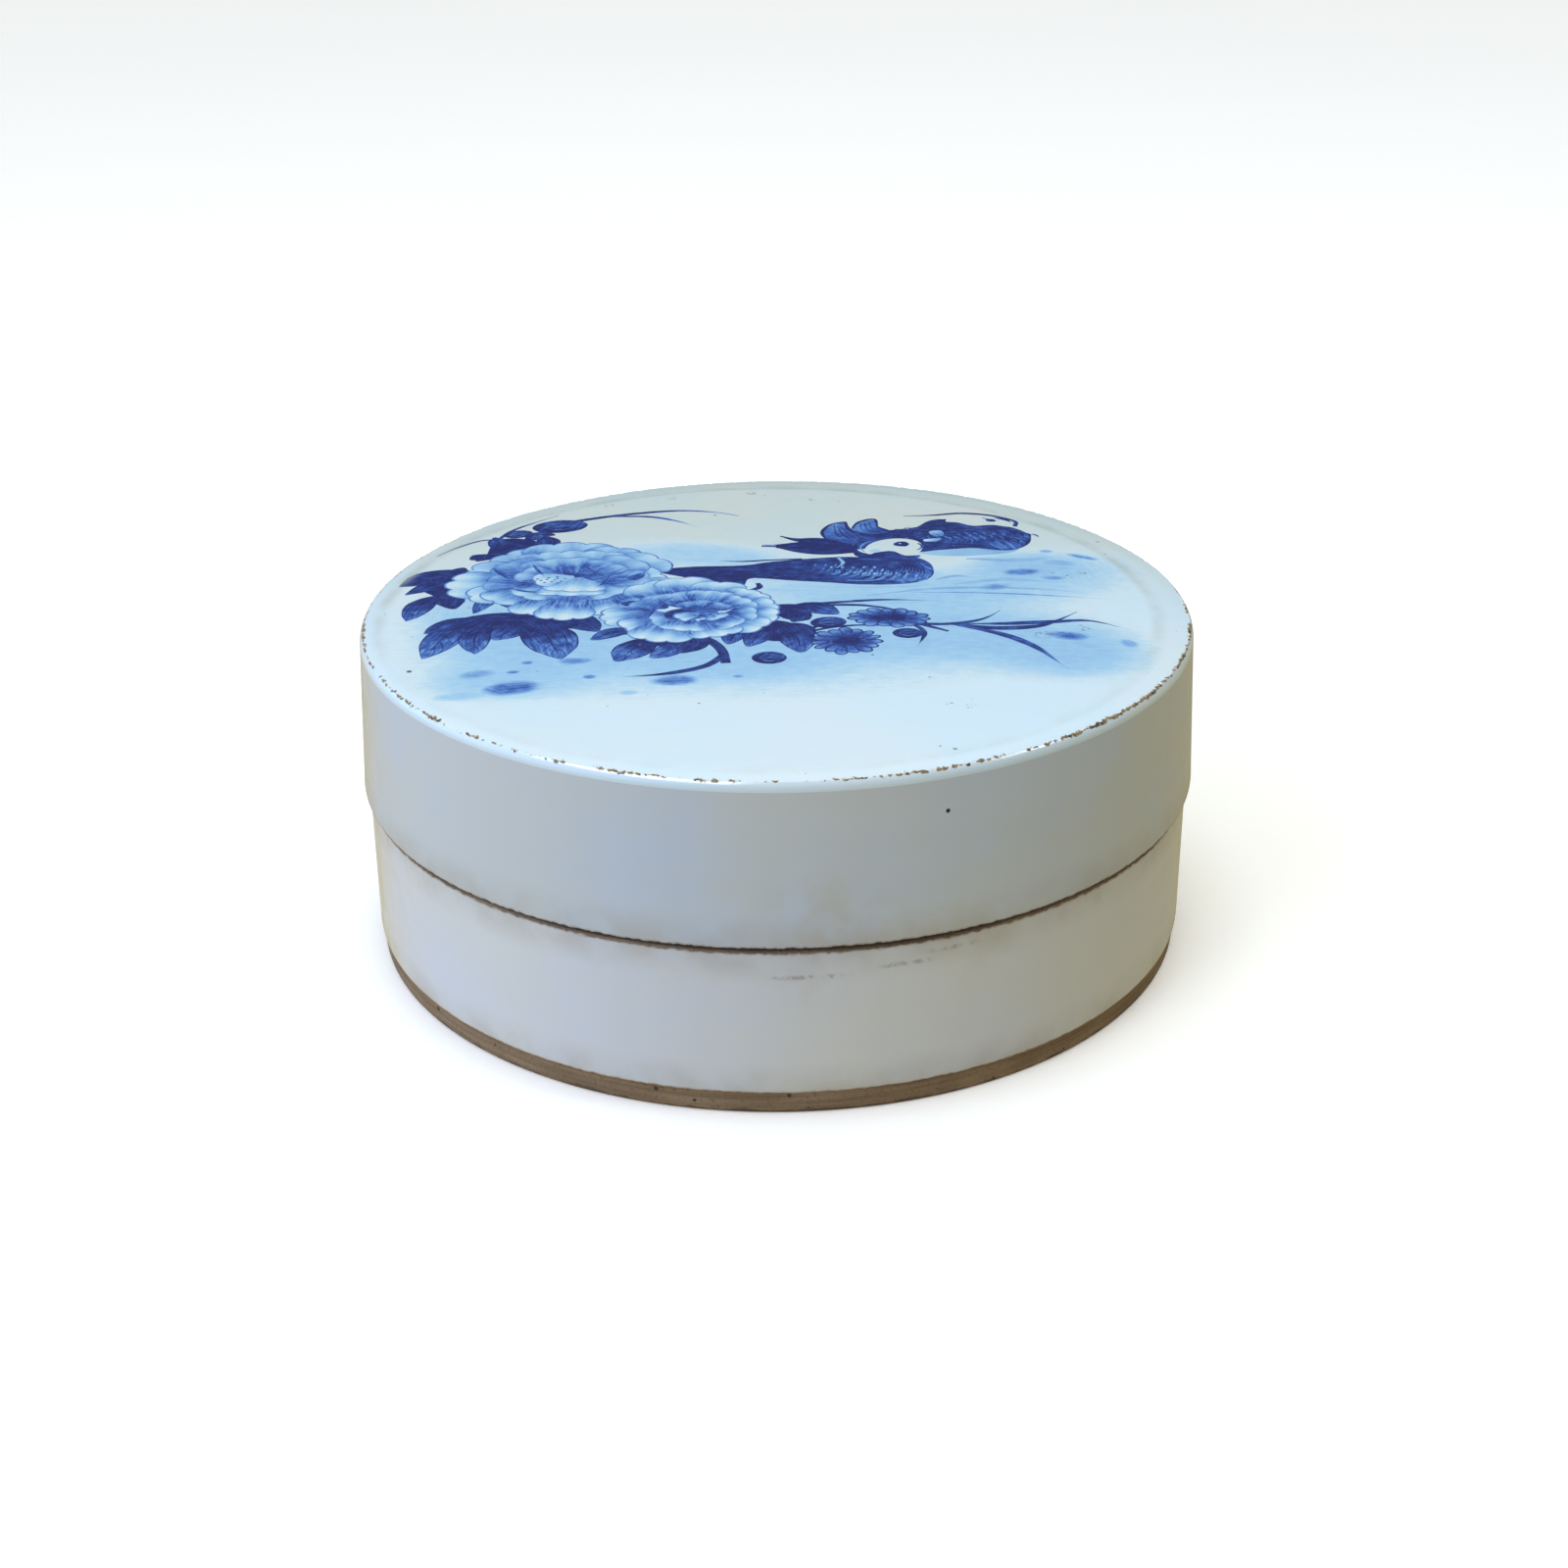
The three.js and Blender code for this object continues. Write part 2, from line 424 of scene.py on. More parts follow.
# Leaves: midrib, width, ink at the tip and pairs of veins.
LEAVES = (
    ([(-70, 24), (-78, 20), (-85.4, 14)], 8.4, 0.9, 3),
    ([(-72, 20), (-78, 14), (-83, 8.4)], 4.6, 0.8, 2),
    ([(-72, 9), (-78, 3), (-80.6, -8)], 6.4, 0.66, 3),
    ([(-71, 11), (-72.4, 5), (-71, -1)], 6.2, 0.93, 2),
    ([(-55, 9), (-63, 6), (-66.4, -4)], 4.6, 0.62, 2),
    ([(-55.6, 9), (-58.6, 4), (-57.6, -1.6)], 5.4, 0.78, 2),
    ([(-62, -5), (-69.4, -14), (-74.2, -30)], 8.6, 0.56, 5),
    ([(-65, -6), (-71, -9.4), (-75.6, -15.6)], 4.4, 0.74, 2),
    ([(-61, -8), (-64.4, -17), (-63.4, -27.6)], 6.8, 0.6, 4),
    ([(-58, -8), (-57, -13), (-60.4, -19.8)], 7.4, 0.6, 3),
    ([(-56.6, -6), (-49, -18), (-45, -31)], 11.6, 0.56, 5),
    ([(-52, -8), (-45.6, -17), (-43.4, -26)], 5.0, 0.6, 3),
    ([(-50, -7), (-43, -9.6), (-38.2, -15.6)], 7.4, 0.86, 3),
    ([(-28, -17), (-34, -15.6), (-39.6, -20.4)], 5.0, 0.6, 3),
    ([(-24, -19), (-29, -24), (-33.6, -32.6)], 8.4, 0.58, 4),
    ([(-25, -19), (-22, -25), (-26.4, -31)], 6.0, 0.6, 3),
    ([(-22, -18), (-17.6, -22), (-20.4, -28.4)], 6.6, 0.82, 2),
    ([(-3, -13), (-8.4, -17), (-10.4, -23.6)], 5.4, 0.7, 3),
    ([(-2, -12), (-4, -19), (-6.2, -25)], 5.6, 0.66, 2),
    ([(0, -12), (4, -19), (5.2, -28.6)], 7.8, 0.62, 4),
    ([(1, -12), (5, -14), (7.6, -20)], 4.8, 0.84, 2),
    ([(2, -2), (8, -2), (13.6, -6.4)], 6.6, 0.7, 3),
    ([(2, -3), (5, -7), (3.4, -11)], 5.4, 0.92, 2),
    ([(-58, 37), (-54, 42), (-55.6, 47.6)], 6.0, 0.84, 2),
    ([(-60, 44), (-56, 48.4), (-52.6, 48)], 4.6, 0.84, 2),
    ([(-67, 35), (-69, 33), (-71, 31)], 4.2, 0.9, 1),
    ([(-66.6, 38), (-66, 43), (-67, 47)], 4.2, 0.8, 2),
)


def paint_leaves():
    """Dark leaves round both peonies: the heavy middle of each group, then its blades."""
    for points in LEAF_HEARTS:
        blob(points, 0.97)
    for points, width, light, veins in LEAVES:
        leaf(points, width, light=light, veins=veins)


# Buds: centre, length, width and direction.
BUDS = (
    ((-61.6, 49), 7.2, 5.6, 20),
    ((-52, 54.4), 13.4, 9.4, 12),
    ((-57, 46.4), 4.6, 3.6, 40),
    ((-1.6, -31.2), 7.4, 6.8, 0),
    ((11.2, -11.2), 8.0, 6.6, 14),
    ((28, -17.8), 6.6, 5.8, 0),
)


def paint_buds():
    """Round dark buds, each with a few pale lines along it."""
    for centre, length, width, degrees in BUDS:
        along, across = turn(degrees) * length / 2, turn(degrees + 90) * width / 2
        round_off = [along * math.cos(k) + across * math.sin(k) for k in np.linspace(0, 2 * math.pi, 9)[:-1]]
        blob([np.array(centre) + offset for offset in round_off], 0.98, 0.76, degrees + 60)
        for bend in (-1, 0, 1):
            start, end = np.array(centre) - along * 0.6, np.array(centre) + along * 0.85
            stroke([start, np.array(centre) + across * 0.55 * bend, end], 0.4, 0.6, start=0.5)


def aster(centre, radius, squash, degrees, rays):
    """A daisy seen at a slant: rays round a dark button."""
    along, across = turn(degrees), turn(degrees + 90) * squash
    for ray in range(rays):
        angle = 2 * math.pi * ray / rays
        spoke = along * math.cos(angle) + across * math.sin(angle)
        reach = radius * (1 + 0.06 * math.sin(2.7 * ray))
        base = np.array(centre) + spoke * radius * 0.22
        width = radius * 2 * math.pi / rays * (0.62 + 0.34 * abs(math.sin(angle)))
        petal(base, np.array(centre) + spoke * reach, width, lobes=1, deep=0.78, pale=0.46, line=0.84)
    blot(centre, radius * 0.95, radius * 0.82 * squash, degrees, 1.0, 1.0, soft=0.2)
    for dot in range(9):
        at = np.array(centre) + (along * math.cos(dot * 0.7) + across * math.sin(dot * 0.7)) * radius * 0.5
        blot(at, 1.0, 0.8, 0, 0.95, 1.0, soft=0.3)


def petals(rows):
    """Petals laid one over another, from a table."""
    for base, tip, width, lobes, deep, pale in rows:
        petal(base, tip, width, lobes, deep + 0.06, pale + 0.07, line=0.46)


def stamens(centre, count, spread):
    """Dots spread evenly over the heart of a flower."""
    for k in range(count):
        at = np.array(centre) + turn(k * 137.5) * spread * math.sqrt((k + 0.5) / count) * (1.4, 0.8)
        blot(at, 0.9, 0.9, 0, 0.62, 1.0, soft=0.4)


# The large peony's petals behind its bowl, from the back to the front. A petal is given by where it
# starts, its tip, its width, its number of scallops, and its darkest and palest ink.
LARGE_BACK = (
    ((-50, 22), (-63.6, 35), 16, 2, 0.66, 0.2),
    ((-48, 20), (-48.6, 42.4), 23, 3, 0.62, 0.16),
    ((-42, 22), (-36.6, 38.6), 15, 2, 0.62, 0.2),
    ((-40, 20), (-26.6, 31), 17, 2, 0.62, 0.12),
    ((-38, 15), (-25.6, 20), 14, 2, 0.62, 0.08),
    ((-52, 20), (-70.6, 24.6), 14, 2, 0.66, 0.14),
    ((-52, 14), (-74.6, 14.4), 18, 3, 0.66, 0.04),
    ((-52, 12), (-69, 6.6), 12, 2, 0.6, 0.06),
    ((-40, 10), (-21.6, 9.6), 17, 3, 0.6, 0.06),
    ((-42, 6), (-27.4, 1.6), 13, 2, 0.62, 0.1),
    ((-47, 18), (-47.6, 36.6), 27, 5, 0.62, 0.16),
    ((-52, 18), (-62.4, 29), 15, 2, 0.66, 0.3),
    ((-43, 19), (-32, 30), 15, 2, 0.6, 0.2),
    ((-43, 15), (-28.4, 17), 13, 2, 0.66, 0.22),
    ((-54, 14), (-66, 16), 12, 2, 0.66, 0.3),
    ((-48, 18), (-51, 31.4), 19, 3, 0.6, 0.2),
    ((-44, 19), (-37, 27.6), 13, 2, 0.6, 0.26),
    ((-48, 17), (-58.6, 22.6), 11, 2, 0.6, 0.2),
)
# The large peony's petals in front of its bowl.
LARGE_FRONT = (
    ((-56, 12), (-63.4, 3.4), 12, 2, 0.56, 0.1),
    ((-36, 8), (-31, -1.4), 12, 2, 0.56, 0.08),
    ((-52, 7), (-54.6, -5), 11, 2, 0.5, 0.02),
    ((-40, 7), (-37.4, -5.4), 12, 2, 0.52, 0.02),
    ((-46, 7), (-46.6, -8.4), 14, 3, 0.5, 0.0),
    ((-50, 14), (-57, 6), 11, 2, 0.46, 0.12),
    ((-42, 13), (-35.6, 6.4), 12, 2, 0.46, 0.14),
    ((-46, 16), (-46.4, 6.4), 17, 3, 0.4, 0.06),
)
# Dark slits between the large peony's petals: path and width.
LARGE_SLITS = (
    ([(-65, 25), (-62.6, 21), (-60.4, 17)], 1.3),
    ([(-56, 27), (-54, 22), (-52.6, 19)], 0.9),
    ([(-38, 18.6), (-38.6, 15), (-40.6, 11.6)], 1.2),
    ([(-33.4, 16.4), (-31.4, 19), (-29.6, 22)], 1.6),
    ([(-60, 12), (-56, 9.6), (-51, 8.8)], 1.0),
    ([(-44, 26), (-42, 22.6), (-41, 19.6)], 0.8),
)


def paint_large_peony():
    """The back petals, the shaded bowl, the front petals, then the heart and the slits between petals."""
    petals(LARGE_BACK)
    bowl = [(-59, 10), (-50, 8), (-40, 8.6), (-30, 9.6), (-25, 6), (-31, 1.4), (-44, -1), (-56, 1.6)]
    blob(bowl + [(-61, 5)], 0.56, 0.44, 0)
    petals(LARGE_FRONT)
    blob([(-51, 19.4), (-45, 20.6), (-38.6, 18), (-39.4, 13.6), (-45.6, 12.4), (-50.4, 14.6)], 0.9, 0.62, 0)
    petals((((-45, 18.4), (-45.6, 9), 15, 3, 0.3, 0.02), ((-46, 19), (-55, 16), 9, 2, 0.2, 0.03)))
    stamens((-51, 16.8), 12, 2.8)
    for slit, width in LARGE_SLITS:
        stroke(slit, width, 0.72, start=0.4)
    blob([(-34.4, 1.6), (-31.6, 3), (-28.8, 0.4), (-29.6, -2), (-33, -0.6)], 0.86, 0.7, 0)


# The small peony's petals, given like the large one's.
SMALL_PETALS = (
    ((-22, 2), (-30.6, 14), 14, 2, 0.62, 0.1),
    ((-19, 2), (-21.6, 17.6), 14, 2, 0.6, 0.06),
    ((-14, 2), (-12.6, 14.6), 13, 2, 0.6, 0.04),
    ((-11, 0), (-4.4, 8.4), 12, 3, 0.62, 0.04),
    ((-10, -3), (0, 0.6), 10, 2, 0.66, 0.06),
    ((-24, -2), (-30.6, 3.4), 11, 2, 0.66, 0.3),
    ((-24, -5), (-38.4, -7.6), 12, 3, 0.6, 0.06),
    ((-24, -8), (-33, -14), 11, 2, 0.6, 0.04),
    ((-10, -6), (0.6, -6.6), 10, 2, 0.6, 0.04),
    ((-12, -8), (-2.6, -14), 11, 2, 0.6, 0.04),
    ((-22, -8), (-26, -21.6), 15, 3, 0.56, 0.02),
    ((-16, -9), (-12, -19), 13, 3, 0.56, 0.02),
    ((-20, -2), (-23.6, 7.6), 12, 2, 0.66, 0.22),
    ((-16, -1), (-14, 8.8), 12, 3, 0.62, 0.16),
    ((-13, -3), (-6, 3.4), 10, 3, 0.62, 0.12),
    ((-12, -6), (-4, -5.6), 9, 2, 0.62, 0.14),
    ((-20, -7), (-27.6, -9), 9, 2, 0.62, 0.16),
    ((-14, -8), (-8.6, -13), 9, 2, 0.6, 0.1),
    ((-19, -8), (-20.6, -15.6), 11, 3, 0.56, 0.06),
    ((-17, -4), (-18.6, 2.4), 8, 2, 0.7, 0.3),
    ((-15, -4), (-11.4, 0.6), 7, 2, 0.66, 0.26),
)
# Dark slits between the small peony's petals.
SMALL_SLITS = (
    ([(-23, 5), (-25.4, 1), (-27.4, -5), (-28.6, -11)], 1.3),
    ([(-13.6, 3.6), (-14.4, 0.6), (-16, -2)], 0.8),
    ([(-8, 0), (-10, -1.8), (-12, -3)], 0.8),
    ([(-20, -12), (-19, -9.6), (-17.6, -8)], 0.9),
)


def paint_small_peony():
    """The same, in front of the large one."""
    petals(SMALL_PETALS)
    blob([(-24, -4), (-19, -1.6), (-13, -3.4), (-14.6, -7.4), (-20, -9), (-24, -7.6)], 0.82, 0.6, 0)
    petals((((-17, -5), (-21.4, -8.6), 6, 2, 0.4, 0.08), ((-15, -5), (-12, -8.4), 6, 2, 0.4, 0.08)))
    stamens((-15.6, -6.4), 9, 2.2)
    for slit, width in SMALL_SLITS:
        stroke(slit, width, 0.66, start=0.3)
    blob([(-34, 17.2), (-31, 21), (-29.8, 19.6), (-31.4, 16.2)], 0.74, 0.6, 60)


def feather_rows(start, stop, rows, length, ink, spread, lean):
    """Short curved strokes in staggered, uneven rows, for a bird's plumage."""
    start, stop = np.array(start, float), np.array(stop, float)
    for row in range(rows):
        middle = lerp(start, stop, row / max(1, rows - 1))
        for k in range(-3, 4):
            odd = math.sin(12.9 * row + 4.7 * k + start[0])
            at = middle + turn(lean + 90) * (k * spread + 0.4 * odd) + turn(lean) * (0.8 * odd - 0.1 * k * k)
            reach = length * (0.8 + 0.35 * odd)
            run = [at, at + turn(lean + 18) * reach * 0.5, at + turn(lean - 14 * odd) * reach]
            stroke(run, 0.75 + 0.2 * odd, min(1, ink + 0.1 * odd), start=0.5, end=0.2, step=1.2)


def paint_far_duck():
    """Its shadow on the water, its body and plumage, then the white head with its crest."""
    shadow = [(33, 36), (40, 36), (50, 36.6), (57, 38), (55, 33.4), (46, 31), (38, 31), (33.4, 33)]
    blob(shadow, 0.3, 0.36, 0, 0.85)
    blob(
        [(22, 45), (27, 49.4), (33, 51), (37, 56.4), (41, 57.6), (46, 55.6), (51, 54), (57, 51), (60.4, 45)]
        + [(59, 38.4), (54, 34.6), (46, 36.2), (38, 35), (33.6, 34), (31, 39), (25, 42)],
        0.95,
        0.78,
        0,
    )
    blob([(51, 51), (57, 49.6), (60, 44.6), (58.4, 38.6), (54, 35), (50.4, 39), (51.6, 45)], 0.84, 0.62, -70)
    feather_rows((51, 46), (57, 43), 4, 3.6, 0.9, 1.7, -60)
    feather_rows((40, 45), (49, 44), 5, 3.4, 0.64, 1.9, -76)
    feather_rows((27, 45), (35, 48), 4, 2.6, 0.78, 1.4, 200)
    blob([(36.6, 48.4), (39.4, 49), (39.8, 45.4), (37.4, 45.2)], 0.25, 0.5, -60)
    blob([(35, 42.6), (39, 43.6), (38.2, 41.6), (35.2, 41.2)], 0.14, 0.4, 0)
    head = [(41, 56), (43, 59.6), (48, 61), (53.6, 59.4), (57.4, 55), (56.4, 51.8), (52, 53.2), (47.4, 52.6)]
    blob(head + [(44, 55)], 0.02)
    crest = [(31, 60), (38, 60.6), (45, 62), (52, 60.4), (57.6, 56), (57.4, 52)]
    stroke(crest, 1.2, 0.94, start=0.3, end=0.9)
    stroke([(53, 58.6), (55.6, 57), (57, 54.4)], 1.2, 0.9)
    stroke([(50, 58.6), (52, 57), (54, 56)], 0.7, 0.8)
    blot((52, 56.6), 2.8, 2.2, -20, 1.0, 1.0, soft=0.2)


# Outlines of the two sails.
LARGE_SAIL = [
    (12.4, 41), (11, 48), (13.2, 54), (16.8, 56), (17.4, 51), (20, 47.4), (28, 44), (22, 36.8), (16, 36)
]
SMALL_SAIL = [(18.2, 50.6), (20, 55.6), (23.8, 57.8), (24.4, 52), (27.4, 47.6), (22.6, 46)]
# Tail feathers: path and width.
TAILS = (
    ([(18, 37.4), (11, 41.6), (5, 42.8), (1, 45.6)], 4.4),
    ([(19, 36.6), (9, 38.4), (1, 38.6), (-3.4, 38.4)], 6.4),
    ([(19, 35), (12, 35), (5, 35.6), (0, 37.6)], 5.6),
)


def paint_sails():
    """The raised fan feathers and the tail of the far duck, behind the near one's head."""
    for tip, points in ((0.6, LARGE_SAIL), (0.5, SMALL_SAIL)):
        blob(points, 0.8, tip, 150)
        stroke(points[:4], 0.9, 0.96, start=0.4, end=0.6)
        stroke(points[3:7], 1.1, 0.96, start=0.6, end=0.6)
    for k in range(5):
        lean = 0.8 * k
        stroke([(14 + lean, 54 - lean), (14.6 + 1.5 * k, 46), (18 + 1.6 * k, 40)], 0.4, 0.86, start=0.5)
    for k in range(3):
        stroke([(20.4 + k, 55 + 0.6 * k), (20.6 + 1.3 * k, 50), (23 + k, 47)], 0.36, 0.82, start=0.5)
    for points, width in TAILS:
        stroke(points, width, 0.98, start=0.6, end=0.15)
    stroke([(-3.2, 38.6), (-1.4, 38.9), (0, 38.6)], 1.2, 0.5, start=1, end=0.6)


def paint_near_duck():
    """Its reflection, body, breast and plumage, then the white head and the eye."""
    blot((12, 10), 46, 9, 2, 0.2, 0.8, soft=0.6)
    blob(
        [(-27, 22.6), (-20, 24.6), (-8, 25.2), (-1, 27.6), (8, 29.6), (16, 30.6), (24, 30), (30.6, 31)]
        + [(34.6, 27), (36, 21), (34.4, 15.6), (29, 12.4), (20, 12), (12, 13.4), (3, 15), (-5.4, 16.6)]
        + [(-7, 13), (-7.6, 8), (-10, 7), (-11.4, 11.6), (-15.6, 12.6), (-20, 17), (-25.6, 20.2)],
        0.98,
        0.8,
        0,
    )
    breast = [(28, 30), (32, 30.4), (35.4, 26), (35.8, 20), (33.6, 15.6), (28.4, 13), (26, 16), (28.6, 22)]
    blob(breast, 0.84, 0.6, -60)
    for k in range(7):
        x = 27.4 + 0.9 * k
        stroke([(x, 30 - 0.5 * k), (29.6 + 0.7 * k, 24 - 0.6 * k), (x, 17 - 0.2 * k)], 0.5, 0.96)
    feather_rows((12, 22), (26, 21.6), 7, 3.4, 0.66, 2.0, -112)
    feather_rows((18, 20), (28, 19.6), 5, 3.0, 0.4, 2.1, -116)
    feather_rows((-4, 21), (8, 22), 5, 3.6, 0.84, 1.3, 186)
    blob([(15.6, 28.6), (20, 29), (22, 26), (19, 23.6), (15.4, 24.6)], 0.9)
    stroke([(14.4, 30), (15.4, 26.4), (13.8, 23)], 0.9, 0.32, start=0.8, end=0.3)
    stroke([(16, 15), (21, 14.6), (27, 16.6)], 0.5, 0.4, start=0.5)
    stroke([(-13, 28.4), (-8, 27.9), (-2, 28.6), (6, 29.4)], 0.9, 0.95, start=0.2, end=0.8)
    stroke([(-22, 22.6), (-10, 22.4), (2, 23.6), (12, 25.4)], 0.45, 0.82, start=0.4)
    stroke([(-18, 20), (-6, 19.6), (6, 20.6)], 0.45, 0.84, start=0.4)
    stroke([(-4.2, 13.4), (-3.8, 10.6), (-6.4, 8.2)], 1.5, 0.96, start=0.7, end=0.9)
    nape = [(18.4, 36), (21, 33), (27, 34.6), (30, 31.4), (33.6, 31.4), (31, 28.6), (24, 28.8), (18.6, 31)]
    blob(nape, 0.9, 0.8, 0)
    blob(
        [(20.6, 34), (21.6, 38.6), (24.6, 42), (29, 43.4), (33, 41.8), (34.4, 38), (33.4, 33.8), (30.6, 31.2)]
        + [(28.8, 32.6), (27.2, 34.4), (24, 34.4), (22, 32.4)],
        0.015,
    )
    stroke([(20.6, 34), (19.8, 37), (21.4, 40.6), (25, 43)], 0.6, 0.5, start=0.5, end=0.3)
    blot((23, 34.8), 5, 3, 30, 0.3, 0.7, soft=0.6)
    blot((29.5, 39.4), 4.0, 3.8, 0, 0.96, 1.0, soft=0.14)
    blot((29.2, 39.7), 0.9, 0.8, 0, 0.15, 1.0, soft=0.4)
    stroke([(33.4, 40), (34.4, 37.6), (33, 35)], 0.8, 0.7, start=0.6, end=0.4)


def paint_picture():
    """Everything, from what lies furthest back to what lies in front."""
    paint_washes()
    paint_water()
    paint_far_duck()
    paint_sails()
    paint_near_duck()
    paint_grass()
    paint_leaves()
    paint_large_peony()
    paint_small_peony()
    paint_buds()
    aster((14.8, -22), 7.6, 0.96, 20, 15)
    aster((24.4, -8.6), 8.8, 0.62, -6, 15)


# ---- meshes -----------------------------------------------------------------


def make_mesh(name, verts, faces, body, normals=None):
    """A smooth mesh object from millimetres, riding on a body."""
    mesh = bpy.data.meshes.new(name)
    mesh.from_pydata([tuple(v) for v in np.asarray(verts, float) * MM], [], faces)
    mesh.polygons.foreach_set("use_smooth", [True] * len(mesh.polygons))
    if normals is None:
        mesh.set_sharp_from_angle(angle=math.radians(40))
    else:
        mesh.normals_split_custom_set_from_vertices([tuple(n) for n in normals])
    mesh.update()
    piece = bpy.data.objects.new(name, mesh)
    bpy.context.scene.collection.objects.link(piece)
    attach(piece, body)
    return piece


def give_value(piece, name, values):
    """A number at each vertex, which the material reads by name."""
    attribute = piece.data.attributes.new(name, "FLOAT", "POINT")
    attribute.data.foreach_set("value", np.asarray(values, np.float32))


def ring_faces(inner, outer):
    """Quads between two rings of vertex numbers, the outer ring further out or lower."""
    count = len(inner)
    return [(inner[k], outer[k], outer[(k + 1) % count], inner[(k + 1) % count]) for k in range(count)]


def turned(profile, sides):
    """A closed turned body. Its profile runs from the axis, round the outside, back to the axis."""
    ring = profile[1:-1]
    angles = np.linspace(0, 2 * math.pi, sides, endpoint=False)
    verts = [(0, 0, profile[0][1])]
    for radius, height in ring:
        verts.extend(np.stack([radius * np.cos(angles), radius * np.sin(angles), np.full(sides, height)], 1))
    verts.append((0, 0, profile[-1][1]))
    rows = [list(range(1 + k * sides, 1 + (k + 1) * sides)) for k in range(len(ring))]
    last = len(verts) - 1
    faces = [(0, rows[0][(k + 1) % sides], rows[0][k]) for k in range(sides)]
    for low, high in zip(rows, rows[1:]):
        faces += [(low[k], low[(k + 1) % sides], high[(k + 1) % sides], high[k]) for k in range(sides)]
    faces += [(last, rows[-1][k], rows[-1][(k + 1) % sides]) for k in range(sides)]
    return verts, faces


def dense(profile):
    """The profile with extra points, so that no stretch is too long."""
    out = [profile[0]]
    for a, b in zip(profile, profile[1:]):
        count = max(1, math.ceil(math.dist(a, b) / PROFILE_STEP))
        out += [(lerp(a[0], b[0], k / count), lerp(a[1], b[1], k / count)) for k in range(1, count + 1)]
    return out


def bare_depth(profile, is_bare):
    """How far along the profile each point lies inside a bare stretch, in mm; negative in the glaze."""
    run = np.concatenate([[0], np.cumsum([math.dist(a, b) for a, b in zip(profile, profile[1:])])])
    bared = np.array([is_bare(r, z) for r, z in profile])
    edges = [(run[k] + run[k + 1]) / 2 for k in range(len(run) - 1) if bared[k] != bared[k + 1]]
    gap = np.min([np.abs(run - e) for e in edges], axis=0)
    return np.where(bared, gap, -gap).clip(-12, 12)


def spread_round(values, sides):
    """One value for each vertex of a turned body, from one for each point of its profile."""
    return np.concatenate([[values[0]], np.repeat(values[1:-1], sides), [values[-1]]])


def make_turned(name, profile, sides, is_bare, body):
    """A turned piece that knows at each vertex how deep it lies in bare clay."""
    profile = dense(profile)
    verts, faces = turned(profile, sides)
    piece = make_mesh(name, verts, faces, body)
    give_value(piece, "bare", spread_round(bare_depth(profile, is_bare), sides))
    return piece


# ---- the lid's top ----------------------------------------------------------


def top_height(x, y):
    """Height of the lid's upper side: a faint crown, a soft crease, then a border band down to the arris."""
    from_crease = np.hypot(x - CREASE_CENTRE[0], y - CREASE_CENTRE[1]) - CREASE_RADIUS
    beyond = (from_crease + np.sqrt(from_crease**2 + CREASE_SOFTNESS)) / 2
    left = np.maximum(ARRIS_RADIUS - np.hypot(x, y), 0)
    crown = FIELD_CROWN * np.maximum(1 - (1 + from_crease / CREASE_RADIUS) ** 2, 0)
    groove = GROOVE_DEPTH * np.exp(-((from_crease / GROOVE_WIDTH) ** 2))
    return ARRIS_HEIGHT + CREASE_RISE * left / (beyond + left + 1e-6) + crown - groove


def top_normals(x, y):
    """Normals of the lid's upper side, from how its height changes over a small step each way."""
    step = 0.1
    along = (top_height(x + step, y) - top_height(x - step, y)) / (2 * step)
    back = (top_height(x, y + step) - top_height(x, y - step)) / (2 * step)
    n = np.stack([-along, -back, np.ones(len(x))], 1)
    return n / np.linalg.norm(n, axis=1)[:, None]


# Heavier wear round the arris: middle and spread in degrees from +X, and how much.
WORN_PLACES = (
    (-42, 14, 0.85),
    (-14, 14, 0.7),
    (-75, 14, 0.55),
    (-104, 12, 0.35),
    (-140, 22, 0.5),
    (-176, 16, 0.75),
    (155, 12, 0.5),
    (125, 16, 0.3),
    (30, 20, 0.45),
)


def wear_heaviness(angle):
    """How worn the arris is at an angle from +X: most at the front right, least at the back."""
    total = -0.3
    for degrees, spread, amount in WORN_PLACES:
        gap = (math.degrees(angle) - degrees + 180) % 360 - 180
        total += amount * math.exp(-((gap / spread) ** 2))
    return total


def arris_wear(angle, from_arris):
    """0 in sound glaze, 1 where it is worn through, by distance from the arris along the profile."""
    spot = Vector((math.cos(angle), math.sin(angle), 0)) * ARRIS_RADIUS
    spot.z = from_arris
    patches = noise.noise(spot / PATCH_SIZE)
    chips = noise.noise(spot / CHIP_SIZE + Vector((7, 0, 0)))
    level = wear_heaviness(angle) + 0.6 * patches + 1.0 * chips - (abs(from_arris - 0.05) / 0.7) ** 1.5
    return min(1, max(0, (level + 0.25) / 0.7))


def background_points():
    """A triangular grid over the painted field, for soft changes of tone."""
    rise = GRID_STEP * 0.866  # from one row of even triangles to the next
    points = []
    for row in range(int(2 * FIELD_EDGE / rise)):
        y = -FIELD_EDGE + row * rise
        x = np.arange(-FIELD_EDGE + GRID_STEP / 2 * (row % 2), FIELD_EDGE, GRID_STEP)
        points.append(np.stack([x, np.full(len(x), y)], 1))
    points = np.vstack(points)
    return points[np.hypot(points[:, 0], points[:, 1]) < FIELD_EDGE - 0.8]


def inside(points, outline):
    """Which points lie inside an outline that may cross itself."""
    a, b = outline, np.roll(outline, -1, axis=0)
    x, y = points[:, :1], points[:, 1:]
    side = (b[:, 0] - a[:, 0]) * (y - a[:, 1]) - (x - a[:, 0]) * (b[:, 1] - a[:, 1])
    rising = (a[:, 1] <= y) & (b[:, 1] > y) & (side > 0)
    falling = (a[:, 1] > y) & (b[:, 1] <= y) & (side < 0)
    return rising.sum(1) != falling.sum(1)


